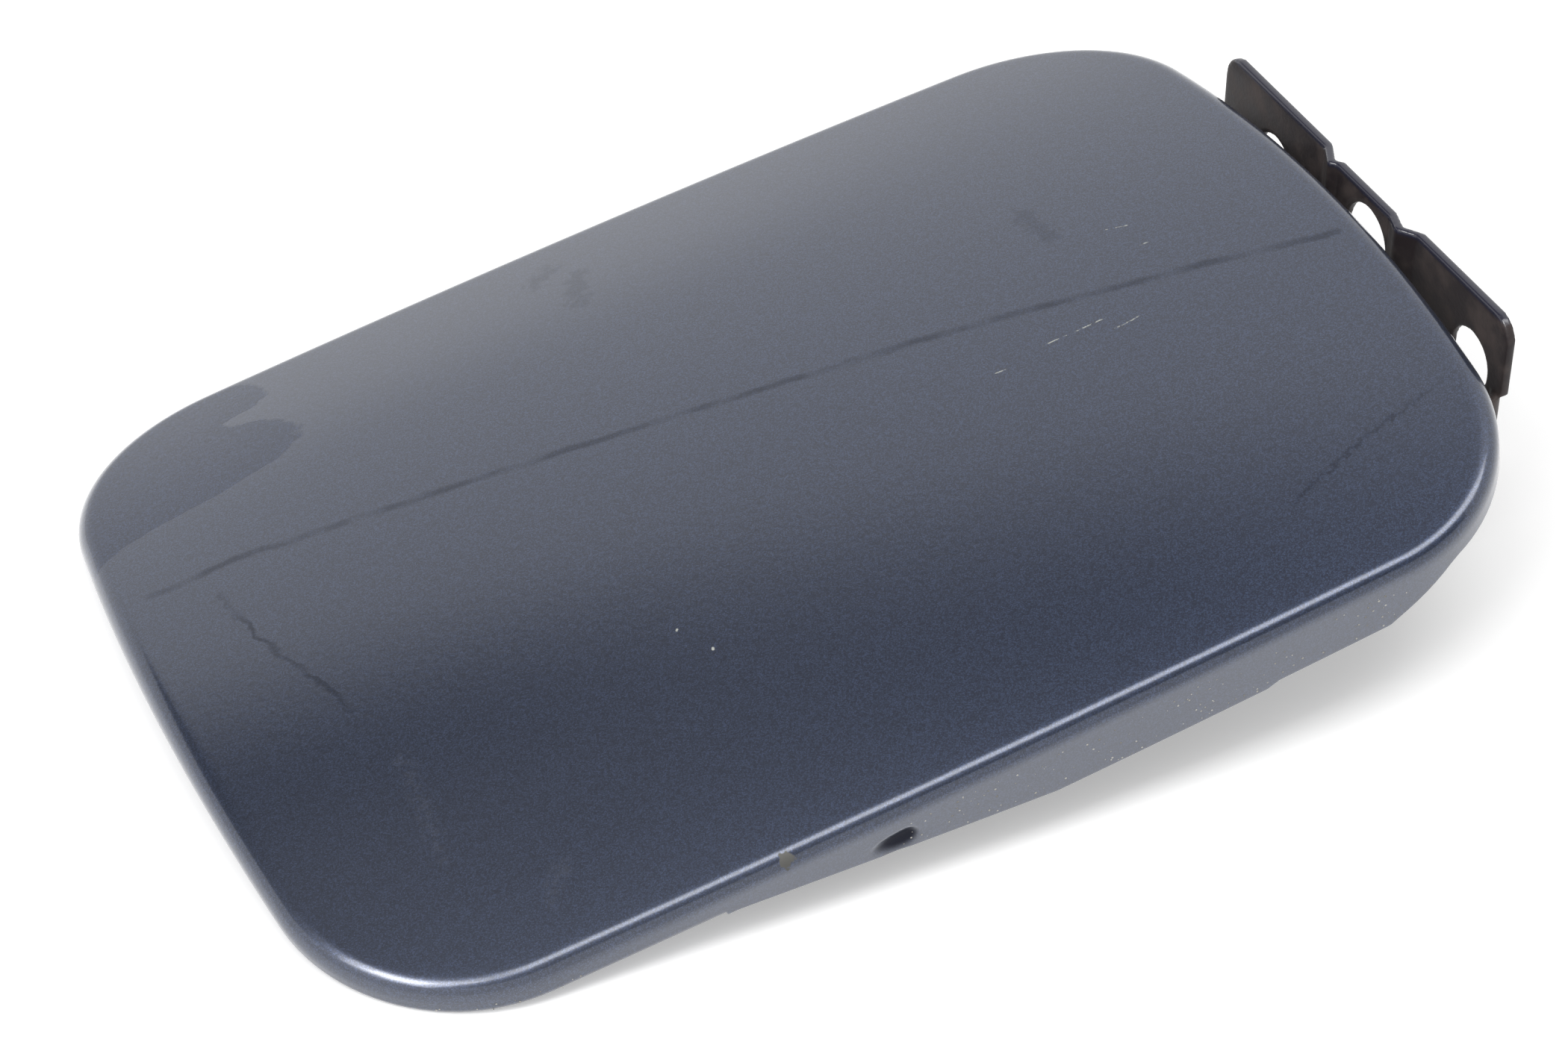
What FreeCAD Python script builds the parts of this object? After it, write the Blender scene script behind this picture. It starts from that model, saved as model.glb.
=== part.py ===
import FreeCAD, Part
import math
import os

# Car fuel filler flap with its hinge, in millimetres. The row frame stands on the hinge base:
# the origin is midway between the two fixing holes on the plate's outer face, +X points out of
# that face, Y runs along the hinge pin and +Z is up. The flap lies fully open, outer face up.
# Pieces of the flap are drawn in the flap's own frame: X towards the hinge, Z out of the paint.
Vector = FreeCAD.Vector

# Flap outline and crown
FLAP_LENGTH = 190.0
FLAP_WIDTH = 138.6
CORNER_RADIUS = 29.0
LONG_SIDE_BOW = 1.9
SHORT_SIDE_BOW = 5.2
CROSS_RADIUS = 278.0
LENGTH_RADIUS = 5000.0
RIM_RADIUS = 3.0
SKIN = 0.8

# Folded hem round the free half, and its fit over the inner panel
HEM_DEPTH = 4.6
HEM_ROUND = 1.2
HEM_RETURN = 8.0
HEM_FIT = 0.5

# Straight flange of the hinge half: depth below the edge, distances from the hinge edge
FLANGE_DEPTH = 10.3
FLANGE_STEP = 0.6
RAMP_START = 135.0
RAMP_END = 86.0
STEP_AT = 53.0
STEP_RUN = 2.0
FADE_START = 33.0
FADE_END = 15.0
FADE_DEPTH = 2.0
NOTCH_AT = 108.0
NOTCH_RADIUS = 2.3

# Inner panel: pressed pan, flat hinge seat and the flange inside the outer one
INNER_SHEET = 0.8
PAN_INSET = 15.0
PAN_CORNER = 16.0
PAN_DEPTH = 7.5
PAN_DRAFT = 25.0
SEAT_LEVEL = 15.0
SEAT_FROM_HINGE = 19.0
SEAT_LENGTH = 42.0
SEAT_MARGIN = 4.0
SEAT_CORNER = 8.0
SEAT_CHAMFER = 2.0
INNER_FLANGE_FIT = 0.1
INNER_FLANGE_SHORT = 1.5
INNER_FLANGE_MARGIN = 6.0
DRAIN_RADIUS = 2.5
DRAIN_FROM_FREE = 108.0
DRAIN_SPACING = 84.0

# Latch keeper, a strap bridge near the free end
KEEPER_FROM_FREE = 46.0
KEEPER_SHEET = 1.5
KEEPER_SPAN = 18.0
KEEPER_FOOT = 7.0
KEEPER_HEIGHT = 7.0
KEEPER_WIDTH = 16.0
KEEPER_BEND = 2.2

# Rubber buffers plugged into the inner panel
BUFFER_FROM_FREE = 30.0
BUFFER_SPACING = 72.0
BUFFER_RADIUS = 6.0
BUFFER_HEIGHT = 2.8
BUFFER_CHAMFER = 1.4
BUFFER_STEM_RADIUS = 2.8
BUFFER_BULB_RADIUS = 3.8
BUFFER_BULB_HEIGHT = 2.2
BUFFER_HOLE_FIT = 0.1

# How the flap stands against the hinge base when open
LAY_ANGLE = 10.0
HINGE_GAP = 4.3
HOLE_DROP = 11.8
FLAP_OFFSET = 5.2

# Hinge base, one folded sheet: plate with two joggles, three holes and two ears
BASE_SHEET = 1.4
PLATE_FRONT = 36.8
PLATE_BACK = 43.2
PLATE_DEPTH = 9.0
PLATE_CORNER = 4.0
FIXING_SPACING = 55.5
FIXING_RADIUS = 4.85
LOCATING_RADIUS = 5.5
LOCATING_RISE = 3.9
MIDDLE_FRONT = -5.8
MIDDLE_BACK = 9.0
MIDDLE_SET_IN = 0.9
DIP_SET_IN = 1.9
DIP_RUN_FRONT = 3.3
DIP_RUN_BACK = 1.0
JOGGLE_RUN_FRONT = 2.8
JOGGLE_RUN_BACK = 3.9
EAR_SHOULDER = 1.0
EAR_SHOULDER_LENGTH = 3.5
EAR_BEND = 3.0
EAR_RADIUS = 8.0
HEEL_RADIUS = 9.4
HEEL_DROP = 8.1

# Pin, its clip and the bushes
PIN_SETBACK = 15.4
PIN_RADIUS = 2.5
PIN_FIT = 0.03
RUNNING_FIT = 0.05
PIN_HEAD_RADIUS = 4.6
PIN_HEAD_THICK = 2.0
PIN_TAIL = 2.6
PIN_CHAMFER = 0.6
GROOVE_RADIUS = 1.9
CLIP_THICK = 0.8
CLIP_RADIUS = 4.6
CLIP_FIT = 0.05
CLIP_GAP_ANGLE = 80.0
BUSH_WALL = 1.4
BUSH_FLANGE_RADIUS = 5.4
BUSH_FLANGE = 1.0
BUSH_FIT = 0.02
END_FLOAT = 0.3

# Hinge arm, a folded channel under the seat with two cheeks down to the pin
ARM_SHEET = 2.0
ARM_BEND = 4.0
ARM_EYE_RADIUS = 6.8
ARM_LIP = 4.0
ARM_HEEL = 12.0
STOP_GAP = 0.2
STOP_LOW = 8.0
STOP_HIGH = 4.0
STOP_ROOT = 4.0
STOP_SHOULDER = 12.5

# Return spring, one bent wire from the front ear to the arm
WIRE_RADIUS = 1.0
WIRE_HOLE_FIT = 0.1
WIRE_OUT = 8.4
WIRE_UP = 2.0
WIRE_BEND = 4.0
WIRE_LEG_FROM_CHEEK = 12.0
WIRE_SEAT_GAP = 0.15
WIRE_SEAT_BACK = 16.0

# Play between pieces that lie on each other, and how edges are told apart by place and direction
SEAT_CLEARANCE = 0.02
NEAR = 0.1
ALONG = 0.9

# Bends that follow the crown: points on each stretch of the outline, sections round a bend in view
# and a hidden one, and the angle and the share of the radius over which a bend runs out at either end
RING_POINTS = 4
BEND_SECTIONS = 4
HIDDEN_SECTIONS = 2
BEND_RUN_OUT_ANGLE = 7.0
BEND_RUN_OUT = 0.4

HALF_LENGTH = FLAP_LENGTH / 2
HALF_WIDTH = FLAP_WIDTH / 2
BLOCK_DEPTH = 60.0
OVERLAP = 5.0


def outline(inset, corner):
    """Flat closed outline of eight tangent arcs, drawn in by inset, with corners of that radius."""
    long_radius = HALF_LENGTH ** 2 / (2 * LONG_SIDE_BOW)
    short_radius = HALF_WIDTH ** 2 / (2 * SHORT_SIDE_BOW)
    long_centre = Vector(0, HALF_WIDTH - long_radius, 0)
    short_centre = Vector(HALF_LENGTH - short_radius, 0, 0)
    from_long = long_radius - inset - corner
    from_short = short_radius - inset - corner
    between = short_centre - long_centre
    along = (from_long ** 2 - from_short ** 2 + between.Length ** 2) / (2 * between.Length)
    aside = math.sqrt(from_long ** 2 - along ** 2)
    unit = Vector(between).normalize()
    corner_centre = long_centre + unit * along + Vector(unit.y, -unit.x, 0) * aside
    to_long = (corner_centre - long_centre).normalize()
    to_short = (corner_centre - short_centre).normalize()
    to_corner = (to_long + to_short).normalize()
    on_long = corner_centre + to_long * corner
    on_corner = corner_centre + to_corner * corner
    on_short = corner_centre + to_short * corner
    long_middle = Vector(0, HALF_WIDTH - inset, 0)
    short_middle = Vector(HALF_LENGTH - inset, 0, 0)

    def flip(point, sx, sy):
        return Vector(point.x * sx, point.y * sy, 0)

    edges = []
    for sx, sy, turn in ((1, 1, 1), (1, -1, -1), (-1, -1, 1), (-1, 1, -1)):
        bend = [flip(p, sx, sy) for p in (on_long, on_corner, on_short)]
        edges.append(Part.Arc(*bend[::turn]).toShape())
    for sx in (1, -1):
        ends = [flip(p, sx, sy) for p, sy in ((on_short, 1), (short_middle, 1), (on_short, -1))]
        edges.append(Part.Arc(*ends).toShape())
    for sy in (1, -1):
        ends = [flip(p, sx, sy) for p, sx in ((on_long, 1), (long_middle, 1), (on_long, -1))]
        edges.append(Part.Arc(*ends).toShape())
    return Part.Wire(Part.__sortEdges__(edges))


def outline_prism(inset, bottom, top):
    """Upright solid with the flap's outline."""
    wire = outline(inset, CORNER_RADIUS - inset)
    wire.translate(Vector(0, 0, bottom))
    return Part.Face(wire).extrude(Vector(0, 0, top - bottom))


def pan_block(inset):
    """Block with the pan's outline, drawn in by inset, that narrows downwards by the draft."""
    depth = HEM_DEPTH + PAN_DEPTH + OVERLAP
    taper = depth * math.tan(math.radians(PAN_DRAFT))
    top = outline(PAN_INSET + inset, PAN_CORNER - inset)
    bottom = outline(PAN_INSET + inset + taper, PAN_CORNER - inset)
    bottom.translate(Vector(0, 0, -depth))
    return Part.makeLoft([bottom, top], True, True)


def under_crown(drop):
    """Everything below the crowned surface, or below its parallel at the depth drop."""
    reach = HALF_WIDTH + OVERLAP
    radius = CROSS_RADIUS - drop
    reach_level = math.sqrt(radius ** 2 - reach ** 2) - CROSS_RADIUS
    left = Vector(0, -reach, reach_level)
    right = Vector(0, reach, reach_level)
    crest = Part.Arc(left, Vector(0, 0, -drop), right).toShape()
    floor = -2 * BLOCK_DEPTH
    sides = Part.makePolygon([right, Vector(0, reach, floor), Vector(0, -reach, floor), left])
    face = Part.Face(Part.Wire([crest] + sides.Edges))
    axis_point = Vector(0, 0, -LENGTH_RADIUS)
    half_turn = math.degrees(math.asin((HALF_LENGTH + OVERLAP) / (LENGTH_RADIUS - 2 * BLOCK_DEPTH)))
    face.rotate(axis_point, Vector(0, 1, 0), -half_turn)
    return face.revolve(axis_point, Vector(0, 1, 0), 2 * half_turn)


def crown_height(x, y, drop):
    """Height of the crown, or of its parallel at the depth drop, over a point of the plan."""
    across = math.sqrt((CROSS_RADIUS - drop) ** 2 - y ** 2) - CROSS_RADIUS
    return math.sqrt((LENGTH_RADIUS + across) ** 2 - x ** 2) - LENGTH_RADIUS


def crown_normal(x, y):
    """Direction out of the crown over a point of the plan."""
    height = crown_height(x, y, 0)
    return Vector(x / (LENGTH_RADIUS + height), y / (CROSS_RADIUS + height), 1).normalize()


def rounded(solid, radius, chosen):
    """Rounds the edges of a solid for which chosen(middle point, direction) is true."""
    edges = []
    for edge in solid.Edges:
        middle = (edge.FirstParameter + edge.LastParameter) / 2
        if chosen(edge.valueAt(middle), edge.tangentAt(middle)):
            edges.append(edge)
    return solid.makeFillet(radius, edges)


def crown_ring(inset, drop, rise):
    """Closed curve along the outline, at a height rise over a parallel of the crown."""
    edges = []
    for edge in outline(inset, CORNER_RADIUS - inset).Edges:
        stride = (edge.LastParameter - edge.FirstParameter) / (RING_POINTS - 1)
        points = [edge.valueAt(edge.FirstParameter + stride * i) for i in range(RING_POINTS)]
        curve = Part.BSplineCurve()
        curve.interpolate([Vector(p.x, p.y, crown_height(p.x, p.y, drop) + rise) for p in points])
        edges.append(curve.toShape())
    return Part.Wire(Part.__sortEdges__(edges))


def bend_cutter(inset, drop, radius, up, sections):
    """What a bend takes off the outline's edge: up is 1 on an upper edge and -1 on a lower one."""
    run_out = math.radians(BEND_RUN_OUT_ANGLE)
    along = radius * BEND_RUN_OUT * math.cos(run_out)
    aside = radius * BEND_RUN_OUT * math.sin(run_out)
    profile = []
    for section in range(sections):
        angle = run_out + (math.pi / 2 - 2 * run_out) * section / (sections - 1)
        profile.append((radius * (1 - math.sin(angle)), radius * (1 - math.cos(angle))))
    profile.insert(0, (profile[0][0] + along, profile[0][1] - aside))
    profile.append((profile[-1][0] - aside, profile[-1][1] + along))
    rings = [crown_ring(inset + inward, drop, -up * below) for inward, below in profile]
    outside = inset - radius
    back = [rings[-1], crown_ring(outside, drop, -up * profile[-1][1])]
    back += [crown_ring(outside, drop, up * radius), rings[0]]
    faces = Part.makeLoft(rings, False, False).Faces
    for near, far in zip(back, back[1:]):
        faces += Part.makeLoft([near, far], False, True).Faces
    shell = Part.Compound(faces)
    shell.sewShape()
    solid = Part.makeSolid(shell.Shells[0])
    if solid.Volume < 0:
        solid.reverse()
    return solid


def crowned_block(inset, drop, rim, sections):
    """Deep block with the flap's outline, a crowned top and a rounded rim."""
    block = outline_prism(inset, -BLOCK_DEPTH, OVERLAP).common(under_crown(drop))
    return block.cut(bend_cutter(inset, drop, rim, 1, sections))


def half_space(low, high):
    """Box across the whole flap between two stations along its length."""
    width = 2 * (HALF_WIDTH + OVERLAP)
    corner = Vector(low, -width / 2, -BLOCK_DEPTH - OVERLAP)
    return Part.makeBox(high - low, width, BLOCK_DEPTH + 3 * OVERLAP, corner)


def from_hinge(distance):
    """Station along the flap, counted from its hinge edge."""
    return HALF_LENGTH - distance


def from_free(distance):
    """Station along the flap, counted from its free edge."""
    return distance - HALF_LENGTH


def side_polygon(points, low, high):
    """Polygon of (x, z) points, extruded along Y from low to high."""
    corners = [Vector(x, low, z) for x, z in points]
    face = Part.Face(Part.makePolygon(corners + corners[:1]))
    return face.extrude(Vector(0, high - low, 0))


def flange_sheet(lift):
    """Side view of the straight flange, with its lower edge raised by lift, across the flap."""
    edge_level = crown_height(0, HALF_WIDTH, 0) + lift
    deep = edge_level - FLANGE_DEPTH
    points = [
        (from_hinge(RAMP_START), edge_level - HEM_DEPTH),
        (from_hinge(RAMP_END), deep),
        (from_hinge(STEP_AT), deep),
        (from_hinge(STEP_AT - STEP_RUN), deep + FLANGE_STEP),
        (from_hinge(FADE_START), deep + FLANGE_STEP),
        (from_hinge(FADE_END), edge_level - FADE_DEPTH),
        (from_hinge(FADE_END), OVERLAP),
        (from_hinge(RAMP_START), OVERLAP),
    ]
    return side_polygon(points, -HALF_WIDTH - OVERLAP, HALF_WIDTH + OVERLAP)


def make_outer_panel():
    """Painted skin: rolled rim, folded hem round the free half, straight flange with a notch."""
    free_half = half_space(-HALF_LENGTH - OVERLAP, from_hinge(RAMP_START))
    hollow = crowned_block(SKIN, SKIN, RIM_RADIUS - SKIN, HIDDEN_SECTIONS)
    skin = crowned_block(0, 0, RIM_RADIUS, BEND_SECTIONS).cut(hollow)
    skin = skin.cut(under_crown(HEM_DEPTH).cut(flange_sheet(0)))
    lip = outline_prism(SKIN / 2, -BLOCK_DEPTH, OVERLAP)
    lip = lip.cut(outline_prism(HEM_RETURN, -BLOCK_DEPTH, OVERLAP))
    lip = lip.common(under_crown(HEM_DEPTH - SKIN)).cut(under_crown(HEM_DEPTH)).common(free_half)
    heel = bend_cutter(0, HEM_DEPTH, HEM_ROUND, -1, HIDDEN_SECTIONS).common(free_half)

    ramp = (RAMP_START - NOTCH_AT) / (RAMP_START - RAMP_END)
    notch_level = crown_height(0, HALF_WIDTH, 0) - HEM_DEPTH - ramp * (FLANGE_DEPTH - HEM_DEPTH)
    width = 2 * (HALF_WIDTH + OVERLAP)
    notch_start = Vector(from_hinge(NOTCH_AT), -width / 2, notch_level)
    notch = Part.makeCylinder(NOTCH_RADIUS, width, notch_start, Vector(0, 1, 0))
    return skin.fuse(lip).cut(heel).cut(notch).removeSplitter()


def seat_block(inset):
    """Flat pressed seat for the hinge arm, drawn in by inset on every side."""
    length = SEAT_LENGTH - 2 * inset
    width = ARM_WIDTH + 2 * (SEAT_MARGIN - inset)
    high = -SEAT_LEVEL + PAN_DEPTH
    low_x = from_hinge(SEAT_FROM_HINGE + SEAT_LENGTH) + inset
    corner = Vector(low_x, ARM_MIDDLE - width / 2, -SEAT_LEVEL + inset)
    block = Part.makeBox(length, width, high + SEAT_LEVEL - inset, corner)
    block = rounded(block, SEAT_CORNER - inset, lambda point, direction: abs(direction.z) > ALONG)
    bottom = [edge for edge in block.Edges if edge.CenterOfMass.z < corner.z + NEAR]
    return block.makeChamfer(SEAT_CHAMFER - inset / 2, bottom)


def make_inner_panel():
    """Pressed inner panel: rim held in the hem, pan, hinge seat, flange and holes."""
    rim_top = HEM_DEPTH - SKIN - INNER_SHEET
    rim = outline_prism(SKIN + HEM_FIT, -BLOCK_DEPTH, OVERLAP)
    rim = rim.common(under_crown(rim_top)).cut(under_crown(HEM_DEPTH - SKIN))
    pan = pan_block(0).common(under_crown(rim_top)).cut(under_crown(PAN_DEPTH))
    pan_hollow = pan_block(INNER_SHEET).cut(under_crown(PAN_DEPTH - INNER_SHEET))
    wall_out = SKIN + INNER_FLANGE_FIT
    wall_in = wall_out + INNER_SHEET
    wall = outline_prism(wall_out, -BLOCK_DEPTH, OVERLAP)
    wall = wall.cut(outline_prism(wall_in, -BLOCK_DEPTH, OVERLAP))
    wall = wall.common(under_crown(rim_top)).common(flange_sheet(INNER_FLANGE_SHORT))
    wall_start = from_hinge(RAMP_START - INNER_FLANGE_MARGIN)
    wall_end = from_hinge(FADE_END + INNER_FLANGE_MARGIN)
    wall = wall.common(half_space(wall_start, wall_end))
    panel = rim.fuse([pan, wall]).fuse(seat_block(0)).cut(pan_hollow).cut(seat_block(INNER_SHEET))
    holes = [(BUFFER_FROM_FREE, BUFFER_SPACING, BUFFER_STEM_RADIUS + BUFFER_HOLE_FIT),
             (DRAIN_FROM_FREE, DRAIN_SPACING, DRAIN_RADIUS)]
    for station, spacing, radius in holes:
        for side in (-1, 1):
            seat = pan_seat(from_free(station), side * spacing / 2)
            drill = Part.makeCylinder(radius, 2 * PAN_DEPTH, Vector(0, 0, -PAN_DEPTH))
            panel = panel.cut(drill.transformed(seat.toMatrix()))
    return panel.removeSplitter()


def pan_seat(x, y):
    """Placement on the pan's lower face over a point of the plan, its Z out of the crown."""
    normal = crown_normal(x, y)
    point = Vector(x, y, crown_height(x, y, 0)) - normal * PAN_DEPTH
    return FreeCAD.Placement(point, FreeCAD.Rotation(Vector(0, 0, 1), normal))


def make_latch_keeper():
    """Strap bridge that the latch hooks, its feet on the pan near the free end."""
    middle = from_free(KEEPER_FROM_FREE)
    seat = crown_height(middle, 0, PAN_DEPTH)
    inner = KEEPER_SPAN / 2
    outer = inner + KEEPER_SHEET
    foot = outer + KEEPER_FOOT
    bridge = seat - KEEPER_HEIGHT
    points = [
        (middle - foot, seat + OVERLAP), (middle - foot, seat - KEEPER_SHEET),
        (middle - outer, seat - KEEPER_SHEET), (middle - outer, bridge),
        (middle + outer, bridge), (middle + outer, seat - KEEPER_SHEET),
        (middle + foot, seat - KEEPER_SHEET), (middle + foot, seat + OVERLAP),
        (middle + inner, seat + OVERLAP), (middle + inner, bridge + KEEPER_SHEET),
        (middle - inner, bridge + KEEPER_SHEET), (middle - inner, seat + OVERLAP),
    ]
    strap = side_polygon(points, -KEEPER_WIDTH / 2, KEEPER_WIDTH / 2)

    def outside_bend(point, direction):
        return abs(direction.y) > ALONG and point.z < bridge + NEAR

    def inside_bend(point, direction):
        at_bridge = abs(point.z - bridge - KEEPER_SHEET) < NEAR
        return abs(direction.y) > ALONG and at_bridge

    strap = rounded(strap, KEEPER_BEND, outside_bend)
    strap = rounded(strap, KEEPER_BEND - KEEPER_SHEET, inside_bend)
    return strap.common(under_crown(PAN_DEPTH + SEAT_CLEARANCE))


def make_buffer(side):
    """Rubber buffer: dome under the pan, stem through its hole and a bulb above."""
    sag = BUFFER_RADIUS ** 2 / (2 * (CROSS_RADIUS - PAN_DEPTH))
    head = -sag - SEAT_CLEARANCE
    foot = head - BUFFER_HEIGHT
    collar = INNER_SHEET + SEAT_CLEARANCE
    tip = collar + BUFFER_BULB_HEIGHT
    corners = [
        (0, foot),
        (BUFFER_RADIUS - BUFFER_CHAMFER, foot),
        (BUFFER_RADIUS, foot + BUFFER_CHAMFER),
        (BUFFER_RADIUS, head),
        (BUFFER_STEM_RADIUS, head),
        (BUFFER_STEM_RADIUS, collar),
        (BUFFER_BULB_RADIUS, collar),
        (BUFFER_STEM_RADIUS, tip),
        (0, tip),
        (0, foot),
    ]
    profile = Part.Face(Part.makePolygon([Vector(radius, 0, z) for radius, z in corners]))
    buffer = profile.revolve(Vector(0, 0, 0), Vector(0, 0, 1), 360)
    return buffer.transformed(pan_seat(from_free(BUFFER_FROM_FREE), side * BUFFER_SPACING / 2).toMatrix())


def tangent_angle(start, start_radius, end, end_radius, side):
    """Direction of the normal, in XZ, of the line that touches two circles on one side."""
    run = end - start
    lean = math.acos((start_radius - end_radius) / run.Length)
    return math.atan2(run.z, run.x) + side * lean


def on_circle(centre, radius, angle):
    """Point of a circle in the XZ plane."""
    return centre + Vector(radius * math.cos(angle), 0, radius * math.sin(angle))


def arc_between(centre, radius, start, end):
    """Arc edge of a circle in the XZ plane between two angles."""
    points = [on_circle(centre, radius, a) for a in (start, (start + end) / 2, end)]
    return Part.Arc(*points).toShape()


def closed_side(edges, low, high):
    """Closed chain of XZ edges, extruded along Y from low to high."""
    face = Part.Face(Part.Wire(Part.__sortEdges__(edges)))
    face.translate(Vector(0, low, 0))
    return face.extrude(Vector(0, high - low, 0))


def ear_outline():
    """Side view of both ears: shoulder on the plate, rounded heel and round end about the pin."""
    top = Vector(0, 0, -EAR_SHOULDER)
    shoulder = Vector(-EAR_SHOULDER_LENGTH, 0, -EAR_SHOULDER)
    heel = Vector(-HEEL_RADIUS, 0, -HEEL_DROP)
    right = tangent_angle(heel, HEEL_RADIUS, PIN, EAR_RADIUS, 1)
    left = tangent_angle(shoulder, 0, PIN, EAR_RADIUS, -1)
    edges = [
        Part.makeLine(top, on_circle(heel, HEEL_RADIUS, 0)),
        arc_between(heel, HEEL_RADIUS, 0, right),
        Part.makeLine(on_circle(heel, HEEL_RADIUS, right), on_circle(PIN, EAR_RADIUS, right)),
        arc_between(PIN, EAR_RADIUS, right, left),
        Part.makeLine(on_circle(PIN, EAR_RADIUS, left), shoulder),
        Part.makeLine(shoulder, top),
    ]
    return closed_side(edges, -PLATE_FRONT, PLATE_BACK)


def base_plate():
    """Plate of the hinge base in plan, with the middle set in and a dip at each joggle."""
    face_line = [
        (0, -PLATE_FRONT),
        (0, MIDDLE_FRONT - DIP_RUN_FRONT - JOGGLE_RUN_FRONT),
        (-DIP_SET_IN, MIDDLE_FRONT - DIP_RUN_FRONT),
        (-MIDDLE_SET_IN, MIDDLE_FRONT),
        (-MIDDLE_SET_IN, MIDDLE_BACK),
        (-DIP_SET_IN, MIDDLE_BACK + DIP_RUN_BACK),
        (0, MIDDLE_BACK + DIP_RUN_BACK + JOGGLE_RUN_BACK),
        (0, PLATE_BACK),
    ]
    low = -PLATE_DEPTH
    plan = [Vector(x, y, low) for x, y in face_line]
    plan += [Vector(x - BASE_SHEET, y, low) for x, y in reversed(face_line)]
    plate = Part.Face(Part.makePolygon(plan + plan[:1])).extrude(Vector(0, 0, HOLE_DROP - low))
    for end, inward in ((-PLATE_FRONT, 1), (PLATE_BACK, -1)):
        low_y = min(end, end + inward * EAR_BEND)
        corner = Vector(-OVERLAP, low_y, low)
        plate = plate.cut(Part.makeBox(2 * OVERLAP, EAR_BEND, PLATE_DEPTH - EAR_SHOULDER, corner))

    def top_corner(point, direction):
        at_end = abs(point.y + PLATE_FRONT) < NEAR or abs(point.y - PLATE_BACK) < NEAR
        return abs(direction.x) > ALONG and at_end and point.z > HOLE_DROP - NEAR

    return rounded(plate, PLATE_CORNER, top_corner)


def make_hinge_base():
    """Folded base: plate, two bent ears, fixing holes, locating hole, pin and wire holes."""
    width = PLATE_FRONT + PLATE_BACK
    depth = PIN_SETBACK + EAR_RADIUS + OVERLAP
    start = Vector(-depth, -PLATE_FRONT, -BLOCK_DEPTH)
    channel = Part.makeBox(depth, width, BLOCK_DEPTH, start)
    channel = rounded(channel, EAR_BEND, lambda p, d: abs(d.z) > ALONG and p.x > -NEAR)
    start += Vector(-BASE_SHEET, BASE_SHEET, 0)
    inside = Part.makeBox(depth, width - 2 * BASE_SHEET, BLOCK_DEPTH, start)
    inside_bend = EAR_BEND - BASE_SHEET
    inside = rounded(inside, inside_bend, lambda p, d: abs(d.z) > ALONG and p.x > -BASE_SHEET - NEAR)
    ears = channel.cut(inside).common(ear_outline())
    middle = Vector(-2 * depth, EAR_BEND - PLATE_FRONT, -BLOCK_DEPTH)
    ears = ears.cut(Part.makeBox(3 * depth, width - 2 * EAR_BEND, BLOCK_DEPTH, middle))
    base = base_plate().fuse(ears)
    along_x = Vector(1, 0, 0)
    holes = [(-FIXING_SPACING / 2, 0, FIXING_RADIUS), (FIXING_SPACING / 2, 0, FIXING_RADIUS),
             (0, LOCATING_RISE, LOCATING_RADIUS)]
    for y, z, radius in holes:
        base = base.cut(Part.makeCylinder(radius, 2 * OVERLAP, Vector(-OVERLAP, y, z), along_x))
    along_y = Vector(0, 1, 0)
    front = Vector(0, -PLATE_FRONT, 0)
    pin_hole = Part.makeCylinder(PIN_RADIUS + PIN_FIT, width, PIN + front, along_y)
    wire_hole = Part.makeCylinder(WIRE_RADIUS + WIRE_HOLE_FIT, EAR_BEND, WIRE + front, along_y)
    return base.cut(pin_hole).cut(wire_hole).removeSplitter()


def make_hinge_pin():
    """Headed pin through both ears, with a groove for the clip."""
    groove = PLATE_BACK + CLIP_FIT
    end = groove + CLIP_THICK + 2 * CLIP_FIT + PIN_TAIL
    points = [
        (0, -PLATE_FRONT - PIN_HEAD_THICK),
        (PIN_HEAD_RADIUS - PIN_CHAMFER, -PLATE_FRONT - PIN_HEAD_THICK),
        (PIN_HEAD_RADIUS, -PLATE_FRONT - PIN_HEAD_THICK + PIN_CHAMFER),
        (PIN_HEAD_RADIUS, -PLATE_FRONT),
        (PIN_RADIUS, -PLATE_FRONT),
        (PIN_RADIUS, groove),
        (GROOVE_RADIUS, groove),
        (GROOVE_RADIUS, groove + CLIP_THICK + 2 * CLIP_FIT),
        (PIN_RADIUS, groove + CLIP_THICK + 2 * CLIP_FIT),
        (PIN_RADIUS, end - PIN_CHAMFER),
        (PIN_RADIUS - PIN_CHAMFER, end),
        (0, end),
    ]
    profile = [PIN + Vector(radius, y, 0) for radius, y in points]
    face = Part.Face(Part.makePolygon(profile + profile[:1]))
    return face.revolve(PIN, Vector(0, 1, 0), 360)


def make_pin_clip():
    """Open ring sprung into the pin's groove."""
    foot = PIN + Vector(0, PLATE_BACK + 2 * CLIP_FIT, 0)
    along_y = Vector(0, 1, 0)
    ring = Part.makeCylinder(CLIP_RADIUS, CLIP_THICK, foot, along_y, 360 - CLIP_GAP_ANGLE)
    return ring.cut(Part.makeCylinder(GROOVE_RADIUS + CLIP_FIT, CLIP_THICK, foot, along_y))


def make_bush(face, outward):
    """Flanged plastic bush pressed into a cheek, its flange on the cheek's outer face."""
    along = Vector(0, outward, 0)
    seat = PIN + Vector(0, face, 0)
    inner_end = seat - along * ARM_SHEET
    sleeve = Part.makeCylinder(PIN_RADIUS + BUSH_WALL, ARM_SHEET, inner_end, along)
    flange = Part.makeCylinder(BUSH_FLANGE_RADIUS, BUSH_FLANGE, seat, along)
    bore = Part.makeCylinder(PIN_RADIUS + RUNNING_FIT, ARM_SHEET + BUSH_FLANGE, inner_end, along)
    return sleeve.fuse(flange).cut(bore).removeSplitter()


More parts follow.
